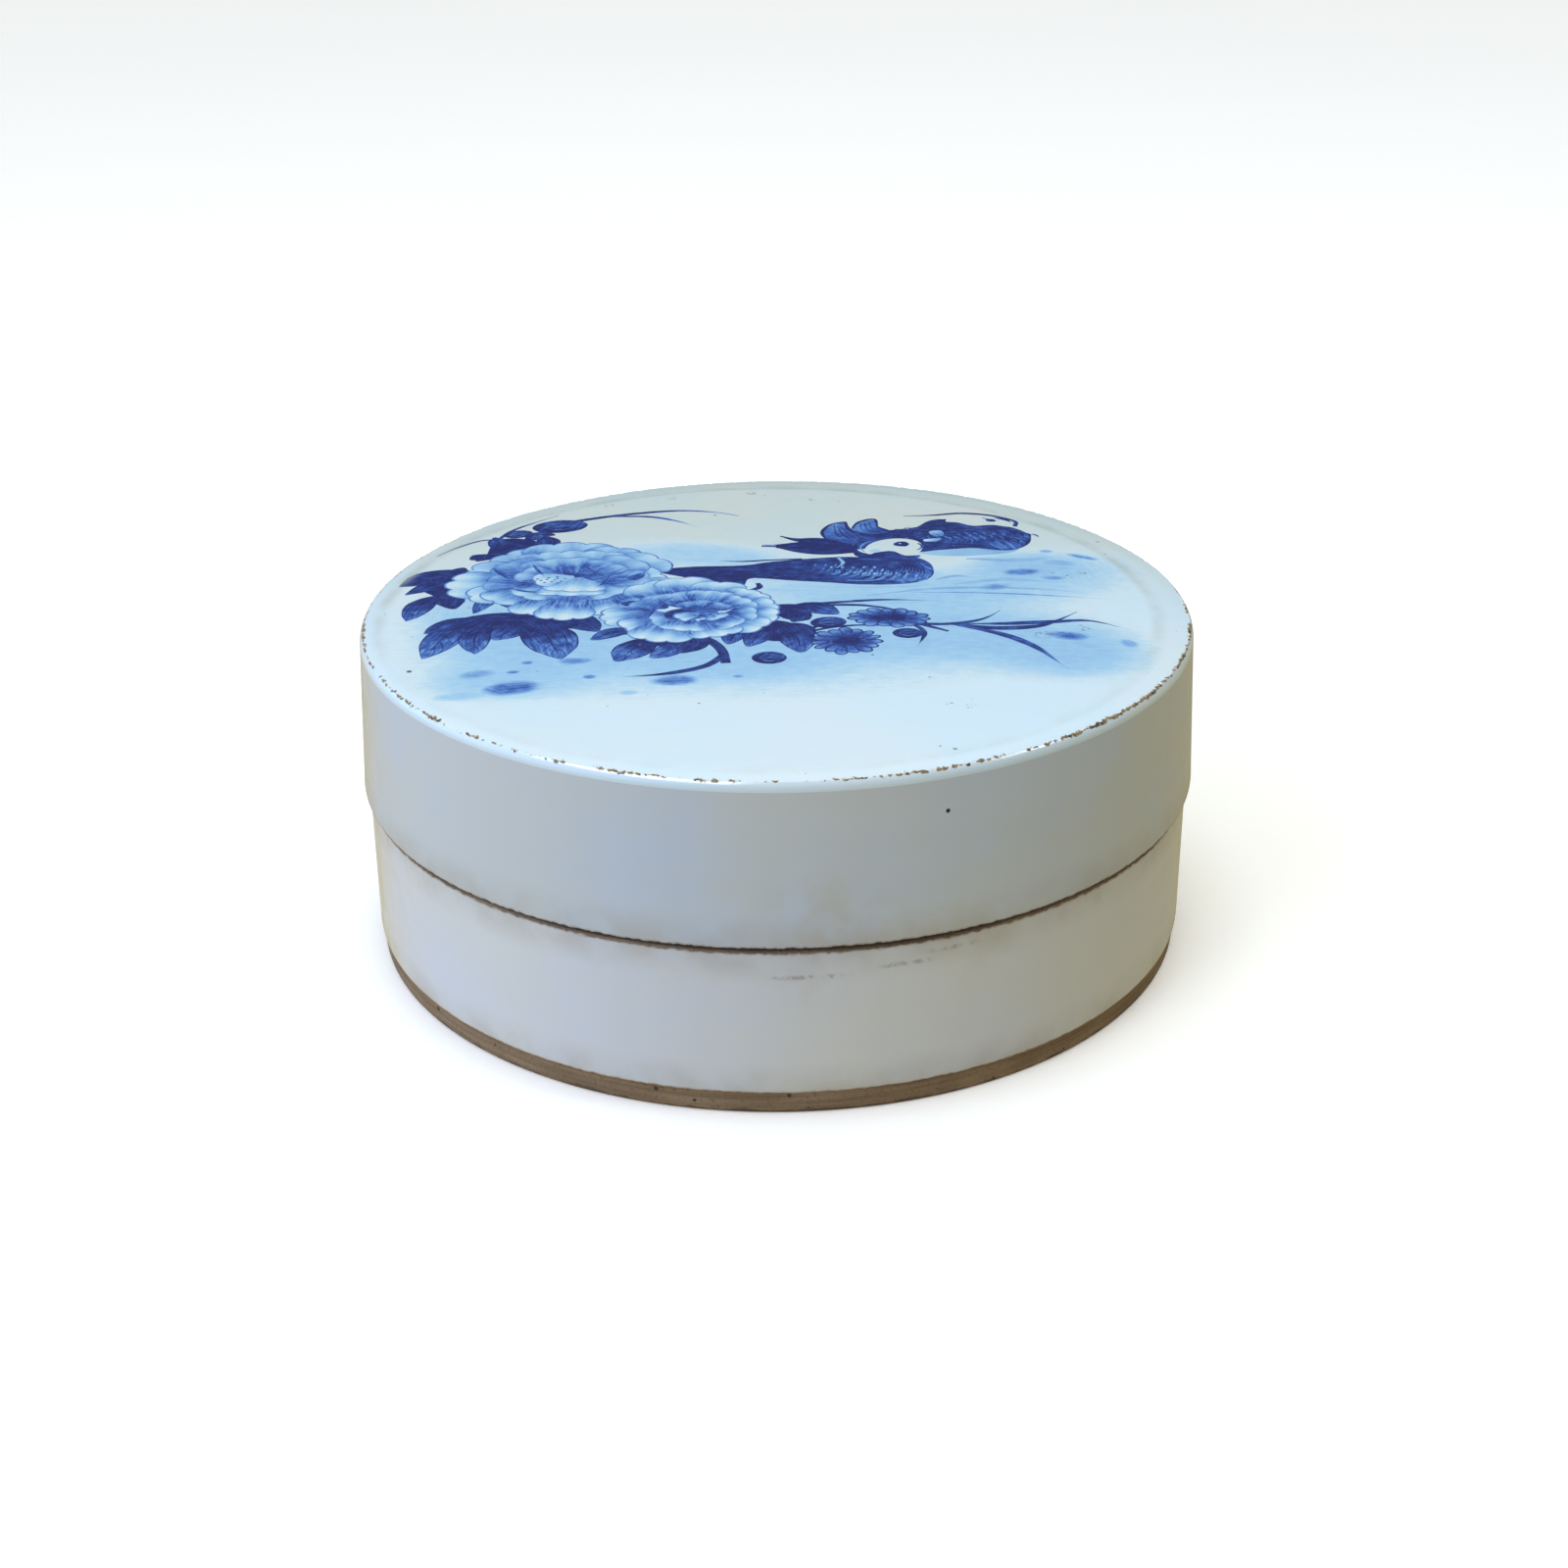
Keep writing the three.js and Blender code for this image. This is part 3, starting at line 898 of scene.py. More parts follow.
def lay_paint(corners):
    """Ink and brush direction at the corners of triangles, one layer of the painting over another."""
    paint = np.zeros((len(corners), 3, 3))
    paint[..., 1:] = corners
    centres = corners.mean(1)
    for outline, rule in ART.layers:
        near = np.all((centres > outline.min(0)) & (centres < outline.max(0)), axis=1)
        rows = np.flatnonzero(near)
        rows = rows[inside(centres[rows], outline)]
        if not len(rows):
            continue
        ink, cover, along, across = rule(corners[rows].reshape(-1, 2))
        fresh = np.stack([ink, along, across], 1).reshape(-1, 3, 3)
        cover = cover.reshape(-1, 3, 1)
        old = paint[rows]
        old[..., :1] = lerp(old[..., :1], fresh[..., :1], cover)
        over = cover[..., 0].mean(1) > 0.5
        old[over, :, 1:] = fresh[over, :, 1:]
        paint[rows] = old
    return paint


def painted_triangles():
    """The painted field as triangles that follow every outline, and the numbers of its rim's corners."""
    angles = np.linspace(0, 2 * math.pi, ARRIS_SIDES, endpoint=False)
    border = np.stack([np.cos(angles), np.sin(angles)], 1) * FIELD_EDGE
    outlines = [border] + [outline for outline, _ in ART.layers]
    starts = np.cumsum([0] + [len(o) for o in outlines])
    loops = [list(range(a, b)) for a, b in zip(starts, starts[1:])]
    edges = [(a, b) for loop in loops for a, b in zip(loop, loop[1:] + loop[:1])]
    points = np.vstack(outlines + ART.loose + [background_points()])
    merge = 0.015  # points nearer than this become one
    verts, _, faces, origins, _, _ = delaunay_2d_cdt([Vector(p) for p in points], edges, [], 0, merge, True)
    verts = np.array([tuple(v) for v in verts])
    tris = np.array([f if cross(verts[list(f)]) > 0 else f[::-1] for f in faces])
    place = {source: vert for vert, sources in enumerate(origins) for source in sources}
    return verts, tris, [place[k] for k in range(ARRIS_SIDES)]


def cross(triangle):
    """Twice a triangle's area, positive if its corners run anticlockwise."""
    (ax, ay), (bx, by), (cx, cy) = triangle
    return (bx - ax) * (cy - ay) - (by - ay) * (cx - ax)


def arris_rows():
    """Profile rows outside the painted field: the band's last stretch, the arris, and the shoulder.
    Each has its radius, its height unless the top's rule gives it, how far past the arris it lies, and
    which way it faces."""
    rows = []
    for r in np.linspace(FIELD_EDGE, ARRIS_RADIUS, 9)[1:]:
        rows.append((r, None, r - ARRIS_RADIUS, (0.1, 1.0)))
    for step in range(1, 13):
        angle = SHOULDER_LEAN * (1 - step / 12)
        out, up = math.cos(angle), math.sin(angle)
        rows.append(
            (SHOULDER_CENTRE + SHOULDER_ROUND * out, SHOULDER_HEIGHT + SHOULDER_ROUND * up)
            + (SHOULDER_ROUND * (SHOULDER_LEAN - angle), (out, up))
        )
    return rows


def make_lid_top():
    """The painted top down to where the shoulder meets the wall, closed below inside the lid's thickness."""
    plan, tris, edge = painted_triangles()
    paint = lay_paint(plan[tris])
    heights = top_height(plan[:, 0], plan[:, 1])
    verts = [np.column_stack([plan, heights])]
    normals = [top_normals(plan[:, 0], plan[:, 1])]
    wear = [np.zeros(len(plan))]
    faces = [tuple(int(i) for i in t) for t in tris]
    angles = np.linspace(0, 2 * math.pi, ARRIS_SIDES, endpoint=False)
    inner, count = edge, len(plan)
    for radius, height, from_arris, (out, up) in arris_rows():
        worn = np.array([arris_wear(a, from_arris) for a in angles])
        last = out > 0.999
        depth = 0.0 if last else WEAR_DEPTH * worn
        level = top_height(radius * np.cos(angles), radius * np.sin(angles)) if height is None else height
        r, z = radius - depth * out, np.zeros(ARRIS_SIDES) + level - depth * up
        verts.append(np.column_stack([r * np.cos(angles), r * np.sin(angles), z]))
        n = np.column_stack([out * np.cos(angles), out * np.sin(angles), np.full(ARRIS_SIDES, up)])
        normals.append(n / np.linalg.norm(n, axis=1)[:, None])
        wear.append(worn)
        outer = list(range(count, count + ARRIS_SIDES))
        faces += ring_faces(inner, outer)
        inner, count = outer, count + ARRIS_SIDES
    verts.append(np.array([(0, 0, SHOULDER_HEIGHT)]))
    normals.append(np.array([(0, 0, -1.0)]))
    wear.append(np.zeros(1))
    faces += [(count, inner[(k + 1) % ARRIS_SIDES], inner[k]) for k in range(ARRIS_SIDES)]
    piece = make_mesh("lid_top", np.vstack(verts), faces, "lid", np.vstack(normals))
    give_value(piece, "wear", np.concatenate(wear))
    colours = piece.data.color_attributes.new("paint", "FLOAT_COLOR", "CORNER")
    values = np.zeros((len(piece.data.loops), 4), np.float32)
    values[: len(tris) * 3, :3] = paint.reshape(-1, 3)
    colours.data.foreach_set("color", values.ravel())
    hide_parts("lid")
    return piece


# ---- the lid's wall and the base --------------------------------------------


def make_lid_shell():
    """The lid's wall, its unglazed rim, and its inner side."""
    inner = LID_RADIUS - LID_WALL
    roof = ARRIS_HEIGHT + CREASE_RISE - LID_ROOF
    small = EDGE_ROUND / 2
    fillet = SHOULDER_RADIUS - LID_WALL_TOP - LID_FILLET
    under_top = SHOULDER_HEIGHT - 0.05  # just clear of the closed underside of the painted top
    profile = (
        [(0, roof)]
        + arc(fillet, roof - LID_FILLET, LID_FILLET, 90, 0, 12)
        + arc(inner + small, LID_RIM + small, small, 180, 270, 5)
        + arc(LID_RADIUS - EDGE_ROUND, LID_RIM + EDGE_ROUND, EDGE_ROUND, -90, 0, 8)
        + [(SHOULDER_RADIUS, SHOULDER_HEIGHT), (SHOULDER_RADIUS - LID_TUCK, under_top), (0, under_top)]
    )

    def is_bare(r, z):
        rim = z < LID_RIM + 0.8
        return rim or (r < inner + 0.1 and z < LID_RIM + 3.4)

    piece = make_turned("lid_shell", profile, SHELL_SIDES, is_bare, "lid")
    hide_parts("lid")
    return piece


def make_base():
    """The bowl with its seat, collar and foot."""
    fillet = COLLAR_INNER - BASE_FILLET
    top = COLLAR_TOP - COLLAR_ROUND
    profile = (
        [(0, RECESS_HEIGHT + RECESS_DISH), (FOOT_INNER / 2, RECESS_HEIGHT + RECESS_DISH * 0.75)]
        + arc(FOOT_INNER - 2 * RECESS_ROUND, RECESS_HEIGHT - RECESS_ROUND, RECESS_ROUND, 90, 10, 4)
        + [(FOOT_INNER - CHAMFER, CHAMFER), (FOOT_INNER + CHAMFER, 0)]
        + arc(FOOT_OUTER - FOOT_EDGE, FOOT_EDGE, FOOT_EDGE, -90, 0, 6)
        + [(BASE_RADIUS - inset, GLAZE_LINE + rise) for inset, rise in GLAZE_EDGE]
        + arc(BASE_RADIUS - EDGE_ROUND, SEAT - EDGE_ROUND, EDGE_ROUND, 0, 90, 8)
        + [(COLLAR_OUTER + CHAMFER, SEAT), (COLLAR_OUTER, SEAT + CHAMFER)]
        + arc(COLLAR_OUTER - COLLAR_ROUND, top, COLLAR_ROUND, 0, 90, 6)
        + arc(COLLAR_INNER + COLLAR_ROUND, top, COLLAR_ROUND, 90, 180, 6)
        + arc(fillet, FLOOR_HEIGHT + BASE_FILLET, BASE_FILLET, 0, -90, 14)
        + [(0, FLOOR_HEIGHT)]
    )

    def is_bare(r, z):
        foot = r > FOOT_INNER - 0.6 and z < GLAZE_LINE
        return foot or (r > COLLAR_INNER + 0.5 and z > SEAT - 0.7)

    piece = make_turned("base_bowl", profile, WALL_SIDES, is_bare, "base")
    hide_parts("base")
    return piece


# ---- materials --------------------------------------------------------------


class Shader:
    """The nodes of a material, or of the world, put together one by one."""

    def __init__(self, owner, surface="Principled BSDF", coordinates="Object"):
        owner.use_nodes = True
        self.owner = owner
        self.nodes = owner.node_tree.nodes
        self.links = owner.node_tree.links
        self.surface = self.nodes[surface]
        self.place = self.add("ShaderNodeTexCoord").outputs[coordinates]

    def add(self, kind, **settings):
        node = self.nodes.new(kind)
        for key, value in settings.items():
            setattr(node, key, value)
        return node

    def feed(self, socket, value):
        if isinstance(value, bpy.types.NodeSocket):
            self.links.new(value, socket)
        else:
            socket.default_value = value

    def maths(self, operation, *values, clamp=False):
        node = self.add("ShaderNodeMath", operation=operation, use_clamp=clamp)
        for socket, value in zip(node.inputs, values):
            self.feed(socket, value)
        return node.outputs[0]

    def plus(self, a, b, clamp=False):
        return self.maths("ADD", a, b, clamp=clamp)

    def minus(self, a, b):
        return self.maths("SUBTRACT", a, b)

    def times(self, a, b):
        return self.maths("MULTIPLY", a, b)

    def most(self, a, b):
        return self.maths("MAXIMUM", a, b)

    def gap(self, a, b):
        return self.maths("ABSOLUTE", self.minus(a, b))

    def ramp(self, value, low, high, to_low=0.0, to_high=1.0):
        """The value's place between low and high, smoothly."""
        node = self.add("ShaderNodeMapRange", interpolation_type="SMOOTHSTEP")
        for socket, v in zip(node.inputs, (value, low, high, to_low, to_high)):
            self.feed(socket, v)
        return node.outputs[0]

    def mix(self, factor, a, b):
        node = self.add("ShaderNodeMix", data_type="RGBA")
        for index, value in ((0, factor), (6, a), (7, b)):
            self.feed(node.inputs[index], value)
        return node.outputs[2]

    def noise(self, size, detail=2.0, stretch=(1, 1, 1), vector=None, shift=(0, 0, 0)):
        """Noise of a grain size in mm."""
        mapping = self.add("ShaderNodeMapping")
        self.feed(mapping.inputs["Vector"], vector or self.place)
        mapping.inputs["Scale"].default_value = stretch
        mapping.inputs["Location"].default_value = shift
        node = self.add("ShaderNodeTexNoise")
        self.feed(node.inputs["Vector"], mapping.outputs[0])
        node.inputs["Scale"].default_value = (1 / MM if vector is None else 1) / size
        node.inputs["Detail"].default_value = detail
        return node.outputs["Fac"]

    def cloud(self, size, detail, low, high, to_low=0.0, to_high=1.0, **how):
        """Noise, with its place between low and high taken smoothly."""
        return self.ramp(self.noise(size, detail, **how), low, high, to_low, to_high)

    def specks(self, spacing, share, size):
        """1 in scattered round spots: a share of the cells of a spacing, both in mm."""
        node = self.add("ShaderNodeTexVoronoi")
        self.feed(node.inputs["Vector"], self.place)
        node.inputs["Scale"].default_value = 1 / (spacing * MM)
        chosen = self.add("ShaderNodeSeparateColor")
        self.feed(chosen.inputs[0], node.outputs["Color"])
        reach = self.times(self.maths("GREATER_THAN", chosen.outputs[0], 1 - share), size / spacing)
        wide = self.times(reach, self.plus(0.4, chosen.outputs[1]))
        return self.ramp(self.minus(wide, node.outputs["Distance"]), 0.0, 0.25 * size / spacing)

    def value(self, name):
        return self.add("ShaderNodeAttribute", attribute_name=name).outputs["Fac"]

    def axes(self):
        node = self.add("ShaderNodeSeparateXYZ")
        self.feed(node.inputs[0], self.place)
        return node.outputs

    def radius(self, centre=(0, 0)):
        """Distance from a centre line along the box's axis."""
        axes = self.axes()
        gaps = [self.minus(axes[k], centre[k] * MM) for k in (0, 1)]
        return self.maths("SQRT", self.plus(*[self.times(gap, gap) for gap in gaps]))

    def near(self, point, reach):
        """1 at a point in mm, falling to 0 at a reach."""
        node = self.add("ShaderNodeVectorMath", operation="DISTANCE")
        self.feed(node.inputs[0], self.place)
        node.inputs[1].default_value = [p * MM for p in point]
        return self.ramp(node.outputs["Value"], reach * MM, 0.0)

    def bump(self, height, distance, onto=None):
        node = self.add("ShaderNodeBump")
        self.feed(node.inputs["Height"], height)
        node.inputs["Distance"].default_value = distance * MM
        if onto is not None:
            self.feed(node.inputs["Normal"], onto)
        return node.outputs[0]

    def finish(self, colour, roughness, normal):
        self.feed(self.surface.inputs["Base Color"], colour)
        self.feed(self.surface.inputs["Roughness"], roughness)
        self.feed(self.surface.inputs["Normal"], normal)
        self.surface.inputs["IOR"].default_value = 1.5
        return self.owner


def rgb(red, green, blue):
    """A colour from its 0 to 255 display values."""
    shares = [c / 255 for c in (red, green, blue)]
    return (*(c / 12.92 if c <= 0.04045 else ((c + 0.055) / 1.055) ** 2.4 for c in shares), 1.0)


# The painting's colour by its amount of ink.
COBALT = (
    (0.0, (228, 238, 240)),
    (0.12, (196, 224, 240)),
    (0.22, (164, 207, 238)),
    (0.42, (106, 154, 216)),
    (0.62, (62, 98, 180)),
    (0.8, (42, 64, 136)),
    (1.0, (32, 38, 104)),
)
DIRT = rgb(62, 48, 34)
CLEAN_CLAY = rgb(206, 195, 174), rgb(176, 158, 132)


def cobalt_ramp(shader, ink, glaze):
    """The colour of the ink, over the glaze where there is hardly any."""
    node = shader.add("ShaderNodeValToRGB")
    shader.feed(node.inputs[0], ink)
    points = node.color_ramp.elements
    for index, (place, colour) in enumerate(COBALT):
        point = points[index] if index < 2 else points.new(place)
        point.position, point.color = place, rgb(*colour)
    return shader.mix(shader.ramp(ink, 0.0, 0.14), glaze, node.outputs[0])


def glaze_colour(shader, cool, warm):
    """Slow unevenness in the glaze, from thicker and cooler to thinner and warmer."""
    tone = shader.mix(shader.cloud(46, 3.0, 0.38, 0.66), cool, warm)
    return shader.mix(shader.cloud(7, 4.0, 0.3, 0.75, 0.0, 0.35), tone, warm)


def brushed_ink(shader):
    """The amount of ink, uneven along the strokes, where it pooled, and in a fine grain."""
    paint = shader.add("ShaderNodeSeparateColor")
    shader.feed(paint.inputs[0], shader.add("ShaderNodeAttribute", attribute_name="paint").outputs["Color"])
    ink = paint.outputs[0]
    path = shader.add("ShaderNodeCombineXYZ")
    shader.feed(path.inputs[0], paint.outputs[1])
    shader.feed(path.inputs[1], paint.outputs[2])
    along = {"stretch": (0.16, 1.5, 1), "vector": path.outputs[0]}
    streaks = shader.cloud(1.0, 3.0, 0.3, 0.7, -0.13, 0.13, **along)
    pooled = shader.cloud(2.6, 4.0, 0.3, 0.7, -0.1, 0.1)
    grains = shader.cloud(0.5, 2.0, 0.25, 0.75, -0.05, 0.05)
    change = shader.plus(shader.plus(streaks, pooled), grains)
    weight = shader.ramp(ink, 0.25, 0.65, 0.16, 1.0)
    return shader.plus(ink, shader.times(change, weight), clamp=True)


def crease_shade_and_dirt(shader):
    """Painted shade in the crease round the painted field, with some dirt, more of it towards the back."""
    crease = shader.gap(shader.radius(CREASE_CENTRE), CREASE_RADIUS * MM)
    shade_and_dirt = shader.times(shader.ramp(crease, 2.6 * MM, 0.0), shader.cloud(9, 3.0, 0.35, 0.65, 0.2, 0.55))
    return shader.times(shade_and_dirt, shader.ramp(shader.axes()[1], -0.06, 0.03, 0.3, 1.0))


# Old chips and scratches of the painted field: place, reach, and whether they are broken up.
TOP_MARKS = (
    ((-76, -36.5), 0.9, False),
    ((61.5, -25.5), 0.8, True),
    ((38.5, -57), 1.9, True),
    ((34.5, -56), 1.3, True),
    ((57, -19), 3.0, True),
    ((66, -15), 2.6, True),
    ((70, 20), 2.4, True),
    ((66, 17), 2.0, True),
    ((-41, 70), 2.0, True),
    ((-26, 76), 2.2, True),
    ((-6, 79), 2.0, True),
    ((9, 73), 1.6, True),
    ((20, -30), 0.7, False),
)


def top_marks(shader, colour):
    """The old chips and scratches, laid over a colour."""
    for point, reach, broken_up in TOP_MARKS:
        mark = shader.ramp(shader.near((*point, ARRIS_HEIGHT + CREASE_RISE), reach), 0.1, 0.5)
        broken = shader.cloud(0.6, 3.0, 0.54, 0.62, 0.0, 0.8, shift=(point[0], 0, 0)) if broken_up else 1.0
        colour = shader.mix(shader.times(mark, broken), colour, rgb(96, 94, 92))
    return colour


def painted_glaze():
    """The lid's top: ink over glaze with a painted reflection at the back, then dirt, painted shade in the
    crease and marks, then the edge where the glaze is worn through.
    """
    shader = Shader(bpy.data.materials.new("painted_glaze"))
    near = glaze_colour(shader, rgb(212, 235, 250), rgb(218, 235, 244))
    # Towards the back the glaze is painted greyer and greener: a painted reflection of the room.
    glaze_with_back_reflection = glaze_colour(shader, rgb(204, 221, 224), rgb(212, 221, 218))
    glaze = shader.mix(shader.ramp(shader.axes()[1], -0.02, 0.06), near, glaze_with_back_reflection)
    colour = cobalt_ramp(shader, brushed_ink(shader), glaze)
    pits = shader.most(shader.specks(7, 0.16, 0.42), shader.specks(2.6, 0.05, 0.3))
    scuffs = shader.times(shader.specks(14, 0.12, 0.9), shader.cloud(0.7, 3.0, 0.5, 0.62))
    colour = shader.mix(shader.times(pits, 0.75), colour, rgb(92, 88, 84))
    colour = shader.mix(shader.times(scuffs, 0.6), colour, rgb(110, 104, 98))
    # Grey-green in the crease round the field: painted shade, with some dirt.
    colour = shader.mix(crease_shade_and_dirt(shader), colour, rgb(178, 188, 182))
    colour = top_marks(shader, colour)
    worn = shader.value("wear")
    fray = shader.cloud(0.6, 3.0, 0.3, 0.7, -0.45, 0.45)
    wear = shader.plus(worn, shader.times(fray, shader.ramp(worn, 0.02, 0.3)))
    fringe, core = shader.ramp(wear, 0.22, 0.4), shader.ramp(wear, 0.5, 0.62)
    colour = shader.mix(shader.times(fringe, 0.8), colour, rgb(204, 194, 176))
    stain = shader.mix(shader.cloud(1.6, 4.0, 0.35, 0.6), rgb(58, 46, 32), rgb(150, 128, 98))
    colour = shader.mix(core, colour, stain)
    rough = shader.cloud(5, 4.0, 0.3, 0.7, 0.07, 0.16)
    rough = shader.plus(rough, shader.times(shader.most(fringe, pits), 0.5), clamp=True)
    swell = shader.bump(shader.noise(6, 2.0), 0.05)
    low = shader.times(shader.most(pits, core), -1.0)
    return shader.finish(colour, rough, shader.bump(low, 0.06, swell))


def smudge(shader, start, stop, height):
    """A faint broken line of dirt along the wall, between two places across and at a height, in mm."""
    axes = shader.axes()
    line = shader.ramp(shader.gap(axes[2], height * MM), 0.75 * MM, 0.1 * MM)
    middle, half = (start + stop) / 2 * MM, (stop - start) / 2 * MM
    along = shader.ramp(shader.gap(axes[0], middle), half, half * 0.4)
    outer = shader.maths("GREATER_THAN", shader.radius(), (COLLAR_OUTER + 1) * MM)
    front = shader.times(shader.maths("LESS_THAN", axes[1], 0.0), outer)
    broken = shader.cloud(1.6, 3.0, 0.45, 0.62, 0.03, 0.42, shift=(start, 0, 0))
    return shader.times(shader.times(line, along), shader.times(front, broken))


def bare_clay(shader, tones, turning, grit):
    """Clay in three tones with dirt at the sole, and a paler clay where the lid and base hide it."""
    main, dark, stained = [rgb(*tone) for tone in tones]
    clay = shader.mix(shader.ramp(turning, 0.3, 0.7), main, dark)
    clay = shader.mix(shader.ramp(grit, 0.52, 0.7, 0.0, 0.55), clay, stained)
    clay = shader.mix(shader.cloud(14, 2.0, 0.4, 0.7, 0.0, 0.35), clay, stained)
    height = shader.axes()[2]
    sole = shader.plus(height, shader.cloud(5, 3.0, 0.3, 0.7, -0.5 * MM, 0.5 * MM))
    clay = shader.mix(shader.ramp(sole, 1.2 * MM, 0.3 * MM, 0.0, 0.75), clay, DIRT)
    clay = shader.mix(shader.specks(1.9, 0.1, 0.45), clay, DIRT)
    inner = shader.ramp(shader.radius(), (BASE_RADIUS - 0.7) * MM, (BASE_RADIUS - 1.9) * MM)
    hidden = shader.times(shader.maths("GREATER_THAN", height, GLAZE_LINE * MM), inner)
    clean = shader.mix(shader.cloud(4, 4.0, 0.35, 0.7), *CLEAN_CLAY)
    return shader.mix(shader.times(hidden, shader.ramp(turning, 0.3, 0.7, 0.95, 0.75)), clay, clean)


def plain_glaze(name, cool, warm, stains, marks, smudges, clay):
    """Glaze over a bare clay that shows where the attribute bare is above 0."""
    shader = Shader(bpy.data.materials.new(name))
    depth = shader.plus(shader.value("bare"), shader.cloud(1.6, 4.0, 0.25, 0.75, -0.22, 0.22))
    bare = shader.ramp(depth, -0.12, 0.12)
    throwing = shader.noise(5, 2.0, stretch=(0.05, 0.05, 1))
    colour = glaze_colour(shader, rgb(*cool), rgb(*warm))
    colour = shader.mix(shader.ramp(throwing, 0.4, 0.75, 0.0, 0.16), colour, rgb(*warm))
    for point, reach, amount in stains:
        patch = shader.times(shader.near(point, reach), shader.cloud(7, 4.0, 0.35, 0.68))
        colour = shader.mix(shader.times(patch, amount), colour, rgb(184, 170, 140))
    # Warmer and darker in patches within a few mm of bare clay: along the rims beside the seam and above the
    # foot.
    darker_near_bare = shader.times(shader.ramp(depth, -8.0, -0.2), shader.cloud(9, 3.0, 0.3, 0.7, 0.1, 0.36))
    colour = shader.mix(darker_near_bare, colour, rgb(166, 156, 138))
    fringe = shader.times(shader.ramp(depth, -0.5, -0.05), 0.5)
    colour = shader.mix(fringe, colour, rgb(160, 128, 98))
    for point, reach in marks:
        colour = shader.mix(shader.ramp(shader.near(point, reach), 0.1, 0.4), colour, rgb(40, 36, 34))
    for line in smudges:
        colour = shader.mix(smudge(shader, *line), colour, rgb(112, 104, 92))
    pits = shader.most(shader.specks(16, 0.14, 0.6), shader.specks(5, 0.03, 0.32))
    colour = shader.mix(shader.times(pits, 0.8), colour, rgb(70, 62, 56))
    turning = shader.noise(0.9, 3.0, stretch=(0.03, 0.03, 1))
    grit = shader.noise(0.7, 3.0)
    colour = shader.mix(bare, colour, bare_clay(shader, clay, turning, grit))
    rough = shader.plus(shader.cloud(8, 4.0, 0.3, 0.7, 0.14, 0.26), shader.times(bare, 0.6), clamp=True)
    rings = shader.bump(throwing, 0.1, shader.bump(shader.noise(11, 2.0), 0.1))
    low = shader.minus(shader.times(bare, shader.plus(grit, turning)), pits)
    return shader.finish(colour, rough, shader.bump(low, 0.12, rings))


# ---- stage, light and camera ------------------------------------------------

FLOOR_REACH = 7.0  # metres, like the rest of the room
BACKDROP_SIDES = 96
BACKDROP_RADIUS = 6.9
BACKDROP_HEIGHT = 5.0


def room_piece(name, verts, faces, tones, grains, glow, strength):
    """A piece of the room, which reflections and bounced light don't see."""
    mesh = bpy.data.meshes.new(name)
    mesh.from_pydata(verts, [], faces)
    piece = bpy.data.objects.new(name, mesh)
    bpy.context.scene.collection.objects.link(piece)
    shader = Shader(bpy.data.materials.new("pale_" + name))
    shader.surface.inputs["Emission Color"].default_value = glow
    shader.surface.inputs["Emission Strength"].default_value = strength
    tone = shader.mix(shader.noise(grains[0], 2.0), rgb(*tones[0]), rgb(*tones[1]))
    mesh.materials.append(shader.finish(tone, 0.9, shader.bump(shader.noise(grains[1], 2.0), 0.02)))
    piece.visible_diffuse = False
    piece.visible_glossy = False
    return piece


def make_floor():
    """A pale floor that glows a little, so that it stays white round the box."""
    corners = [(x * FLOOR_REACH, y * FLOOR_REACH, 0) for x, y in ((-1, -1), (1, -1), (1, 1), (-1, 1))]
    tones = (248, 249, 250), (252, 252, 252)
    floor = room_piece("floor", corners, [(0, 1, 2, 3)], tones, (240, 3), (1.0, 1.0, 1.0, 1.0), 0.2)


def make_backdrop():
    """A pale wall round the floor, which only the camera sees."""
    angles = np.linspace(0, 2 * math.pi, BACKDROP_SIDES, endpoint=False)
    foot, top = [
        [(BACKDROP_RADIUS * math.cos(a), BACKDROP_RADIUS * math.sin(a), z) for a in angles]
        for z in (0.0, BACKDROP_HEIGHT)
    ]
    faces = ring_faces(range(BACKDROP_SIDES), range(BACKDROP_SIDES, 2 * BACKDROP_SIDES))
    tones = (10, 10, 10), (14, 14, 14)
    backdrop = room_piece("backdrop", foot + top, faces, tones, (900, 60), (0.915, 0.94, 0.957, 1.0), 1.0)
    backdrop.visible_shadow = False


def light_world():
    """A room with cool daylight from the left, a pale ceiling, dim elsewhere, over a warm ground."""
    bpy.context.scene.world = bpy.data.worlds.new("studio")
    shader = Shader(bpy.context.scene.world, "Background", "Generated")
    x, y, z = shader.axes()
    front = shader.mix(shader.ramp(x, -0.62, -0.2), (1.1, 1.7, 3.1, 1), (0.08, 0.09, 0.16, 1))
    sky = shader.mix(shader.ramp(y, 0.4, 0.8), front, (0.1, 0.13, 0.16, 1))
    high = shader.mix(shader.ramp(z, 0.3, 0.85), sky, (1.04, 0.96, 0.7, 1))
    ground = shader.mix(shader.ramp(x, -0.75, 0.4), (0.77, 0.59, 0.12, 1), (0.5, 0.43, 0.22, 1))
    whole = shader.mix(shader.ramp(z, -0.08, 0.03), ground, high)
    shader.feed(shader.surface.inputs["Color"], whole)
    shader.feed(shader.surface.inputs["Strength"], 0.84)


# The lamps: place and size in metres, power in watts, colour, and whether they only make highlights.
LAMPS = (
    ("lamp_left", (-0.6, -0.72, 0.8), (0.34, 0.32), 2.2, (0.96, 0.98, 1.0), False),
    ("lamp_above", (0, 0.05, 1.25), (0.6, 0.6), 4.1, (0.84, 0.99, 1.16), False),
    ("lamp_right", (0.95, -0.28, 0.67), (0.1, 0.22), 1.0, (1.0, 0.98, 0.94), False),
    ("window_left", (-0.62, -0.74, 0.82), (1.1, 0.42), 14.0, (0.97, 0.99, 1.0), True),
    ("window_right", (0.97, -0.29, 0.69), (0.5, 0.25), 2.4, (1.0, 0.98, 0.94), True),
)
LAMP_TARGET = Vector((0, 0, 0.05))


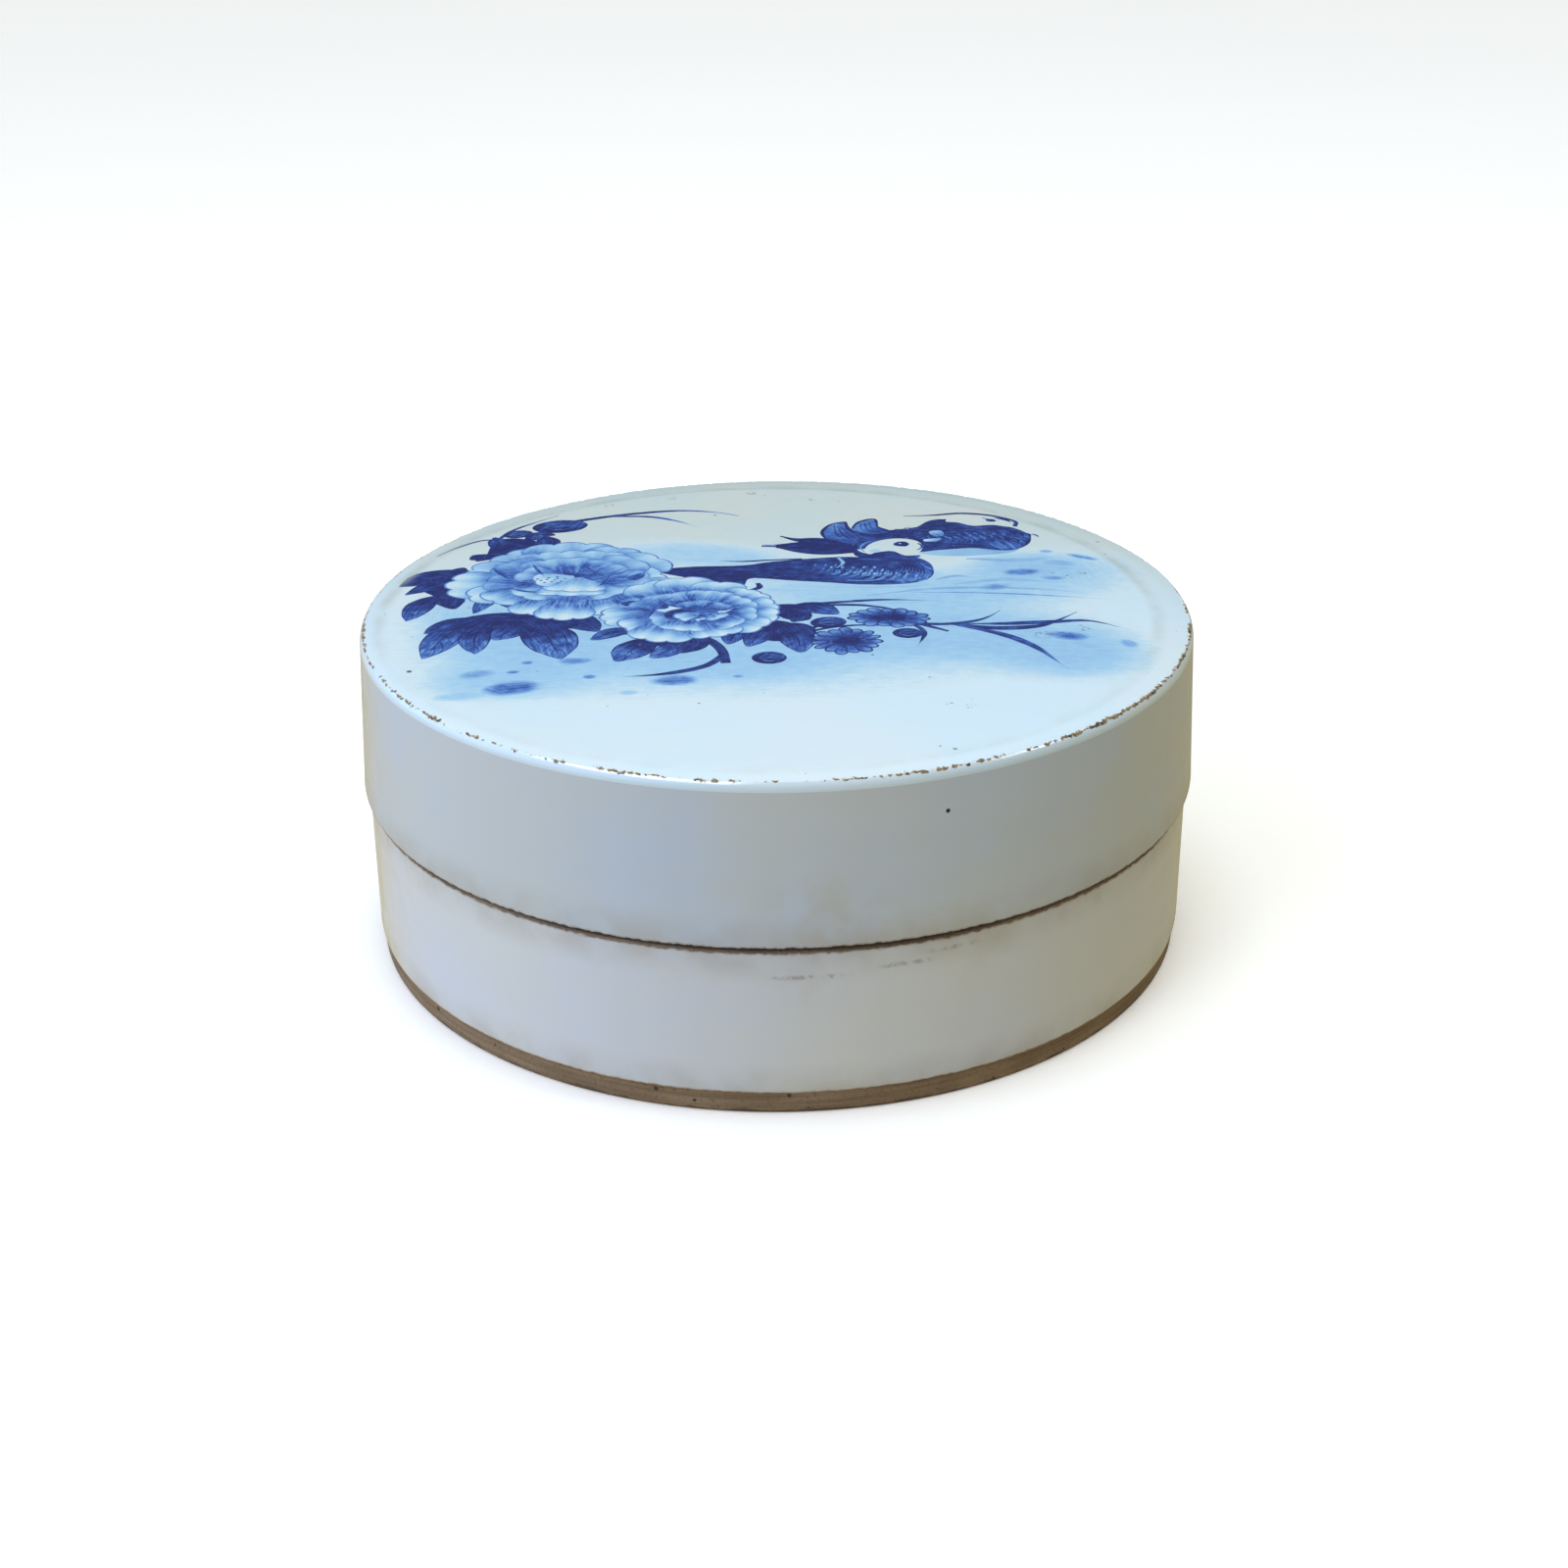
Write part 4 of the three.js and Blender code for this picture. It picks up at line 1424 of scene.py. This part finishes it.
def make_lights():
    """The room's light and the lamps."""
    light_world()
    for name, place, size, power, colour, shine_only in LAMPS:
        data = bpy.data.lights.new(name, "AREA")
        data.shape, data.size, data.size_y = "RECTANGLE", size[0], size[1]
        data.energy, data.color = power, colour
        light = bpy.data.objects.new(name, data)
        light.location = place
        light.visible_diffuse = not shine_only
        light.rotation_euler = (LAMP_TARGET - Vector(place)).to_track_quat("-Z", "Y").to_euler()
        bpy.context.scene.collection.objects.link(light)


# The camera: lens in mm, distance in metres, angles in degrees.
CAMERA_LENS = 54.86
CAMERA_DISTANCE = 0.5416
CAMERA_ELEVATION = 24.28
CAMERA_DIP = 25.13  # how far below level it looks
CAMERA_YAW = 0.16
CAMERA_ROLL = -0.39
AIM_HEIGHT = 0.42 * LID_RADIUS * MM


def make_camera():
    """In front of the box and above it, looking down at it, turned and tilted a hair."""
    angles = (CAMERA_ELEVATION, CAMERA_DIP, CAMERA_YAW, CAMERA_ROLL)
    elevation, dip, yaw, roll = (math.radians(angle) for angle in angles)
    place = Vector((0, -math.cos(elevation), math.sin(elevation))) * CAMERA_DISTANCE
    place.z += AIM_HEIGHT
    ahead = Vector((math.sin(yaw) * math.cos(dip), math.cos(yaw) * math.cos(dip), -math.sin(dip)))
    right = ahead.cross(Vector((0, 0, 1))).normalized()
    up = right.cross(ahead)
    rolled_right = right * math.cos(roll) + up * math.sin(roll)
    rolled_up = up * math.cos(roll) - right * math.sin(roll)
    camera = bpy.data.objects.new("camera", bpy.data.cameras.new("camera"))
    camera.data.lens = CAMERA_LENS
    camera.data.clip_start = 0.01
    turn_to = Matrix((rolled_right, rolled_up, -ahead)).transposed()
    camera.matrix_world = Matrix.Translation(place) @ turn_to.to_4x4()
    bpy.context.scene.collection.objects.link(camera)
    bpy.context.scene.camera = camera


# ---- put together -----------------------------------------------------------

# Stains are given by place, reach and strength, marks by place and reach, smudges by start, stop and
# height, all in mm. The clay has a main tone, a darker tone and a stain.
LID_LOOK = {
    "cool": (196, 211, 230),
    "warm": (202, 211, 216),
    "stains": (((8, -92, 42), 18, 0.34), ((26, -88, 40), 14, 0.22)),
    "marks": (((32.4, -85.8, 64.2), 0.9), ((32.7, -85.9, 63.5), 0.7)),
    "smudges": (),
    # The lid's bare rim is painted almost black: brown stain, and painted shade for the dark gap between lid
    # and base.
    "clay": ((44, 30, 24), (62, 42, 30), (74, 56, 42)),
}
# The base's glaze is painted paler than the lid's wall, though they are one glaze: painted light, for the
# light the pale floor throws up onto the lower part.
BASE_LOOK = {
    "cool": (216, 225, 240),
    "warm": (220, 226, 230),
    "stains": (((6, -91, 30), 12, 0.16), ((40, -82, 33), 12, 0.16)),
    "marks": (),
    "smudges": ((-4, 15, 31.4), (18, 31, 32.6), (28, 40, 34.4)),
    "clay": ((150, 128, 104), (122, 101, 80), (98, 80, 62)),
}

make_camera()
make_lights()
make_floor()
make_backdrop()
bpy.context.scene.view_settings.view_transform = "Standard"

paint_picture()
make_lid_top().data.materials.append(painted_glaze())
make_lid_shell().data.materials.append(plain_glaze("lid_wall_glaze", **LID_LOOK))
make_base().data.materials.append(plain_glaze("base_glaze", **BASE_LOOK))
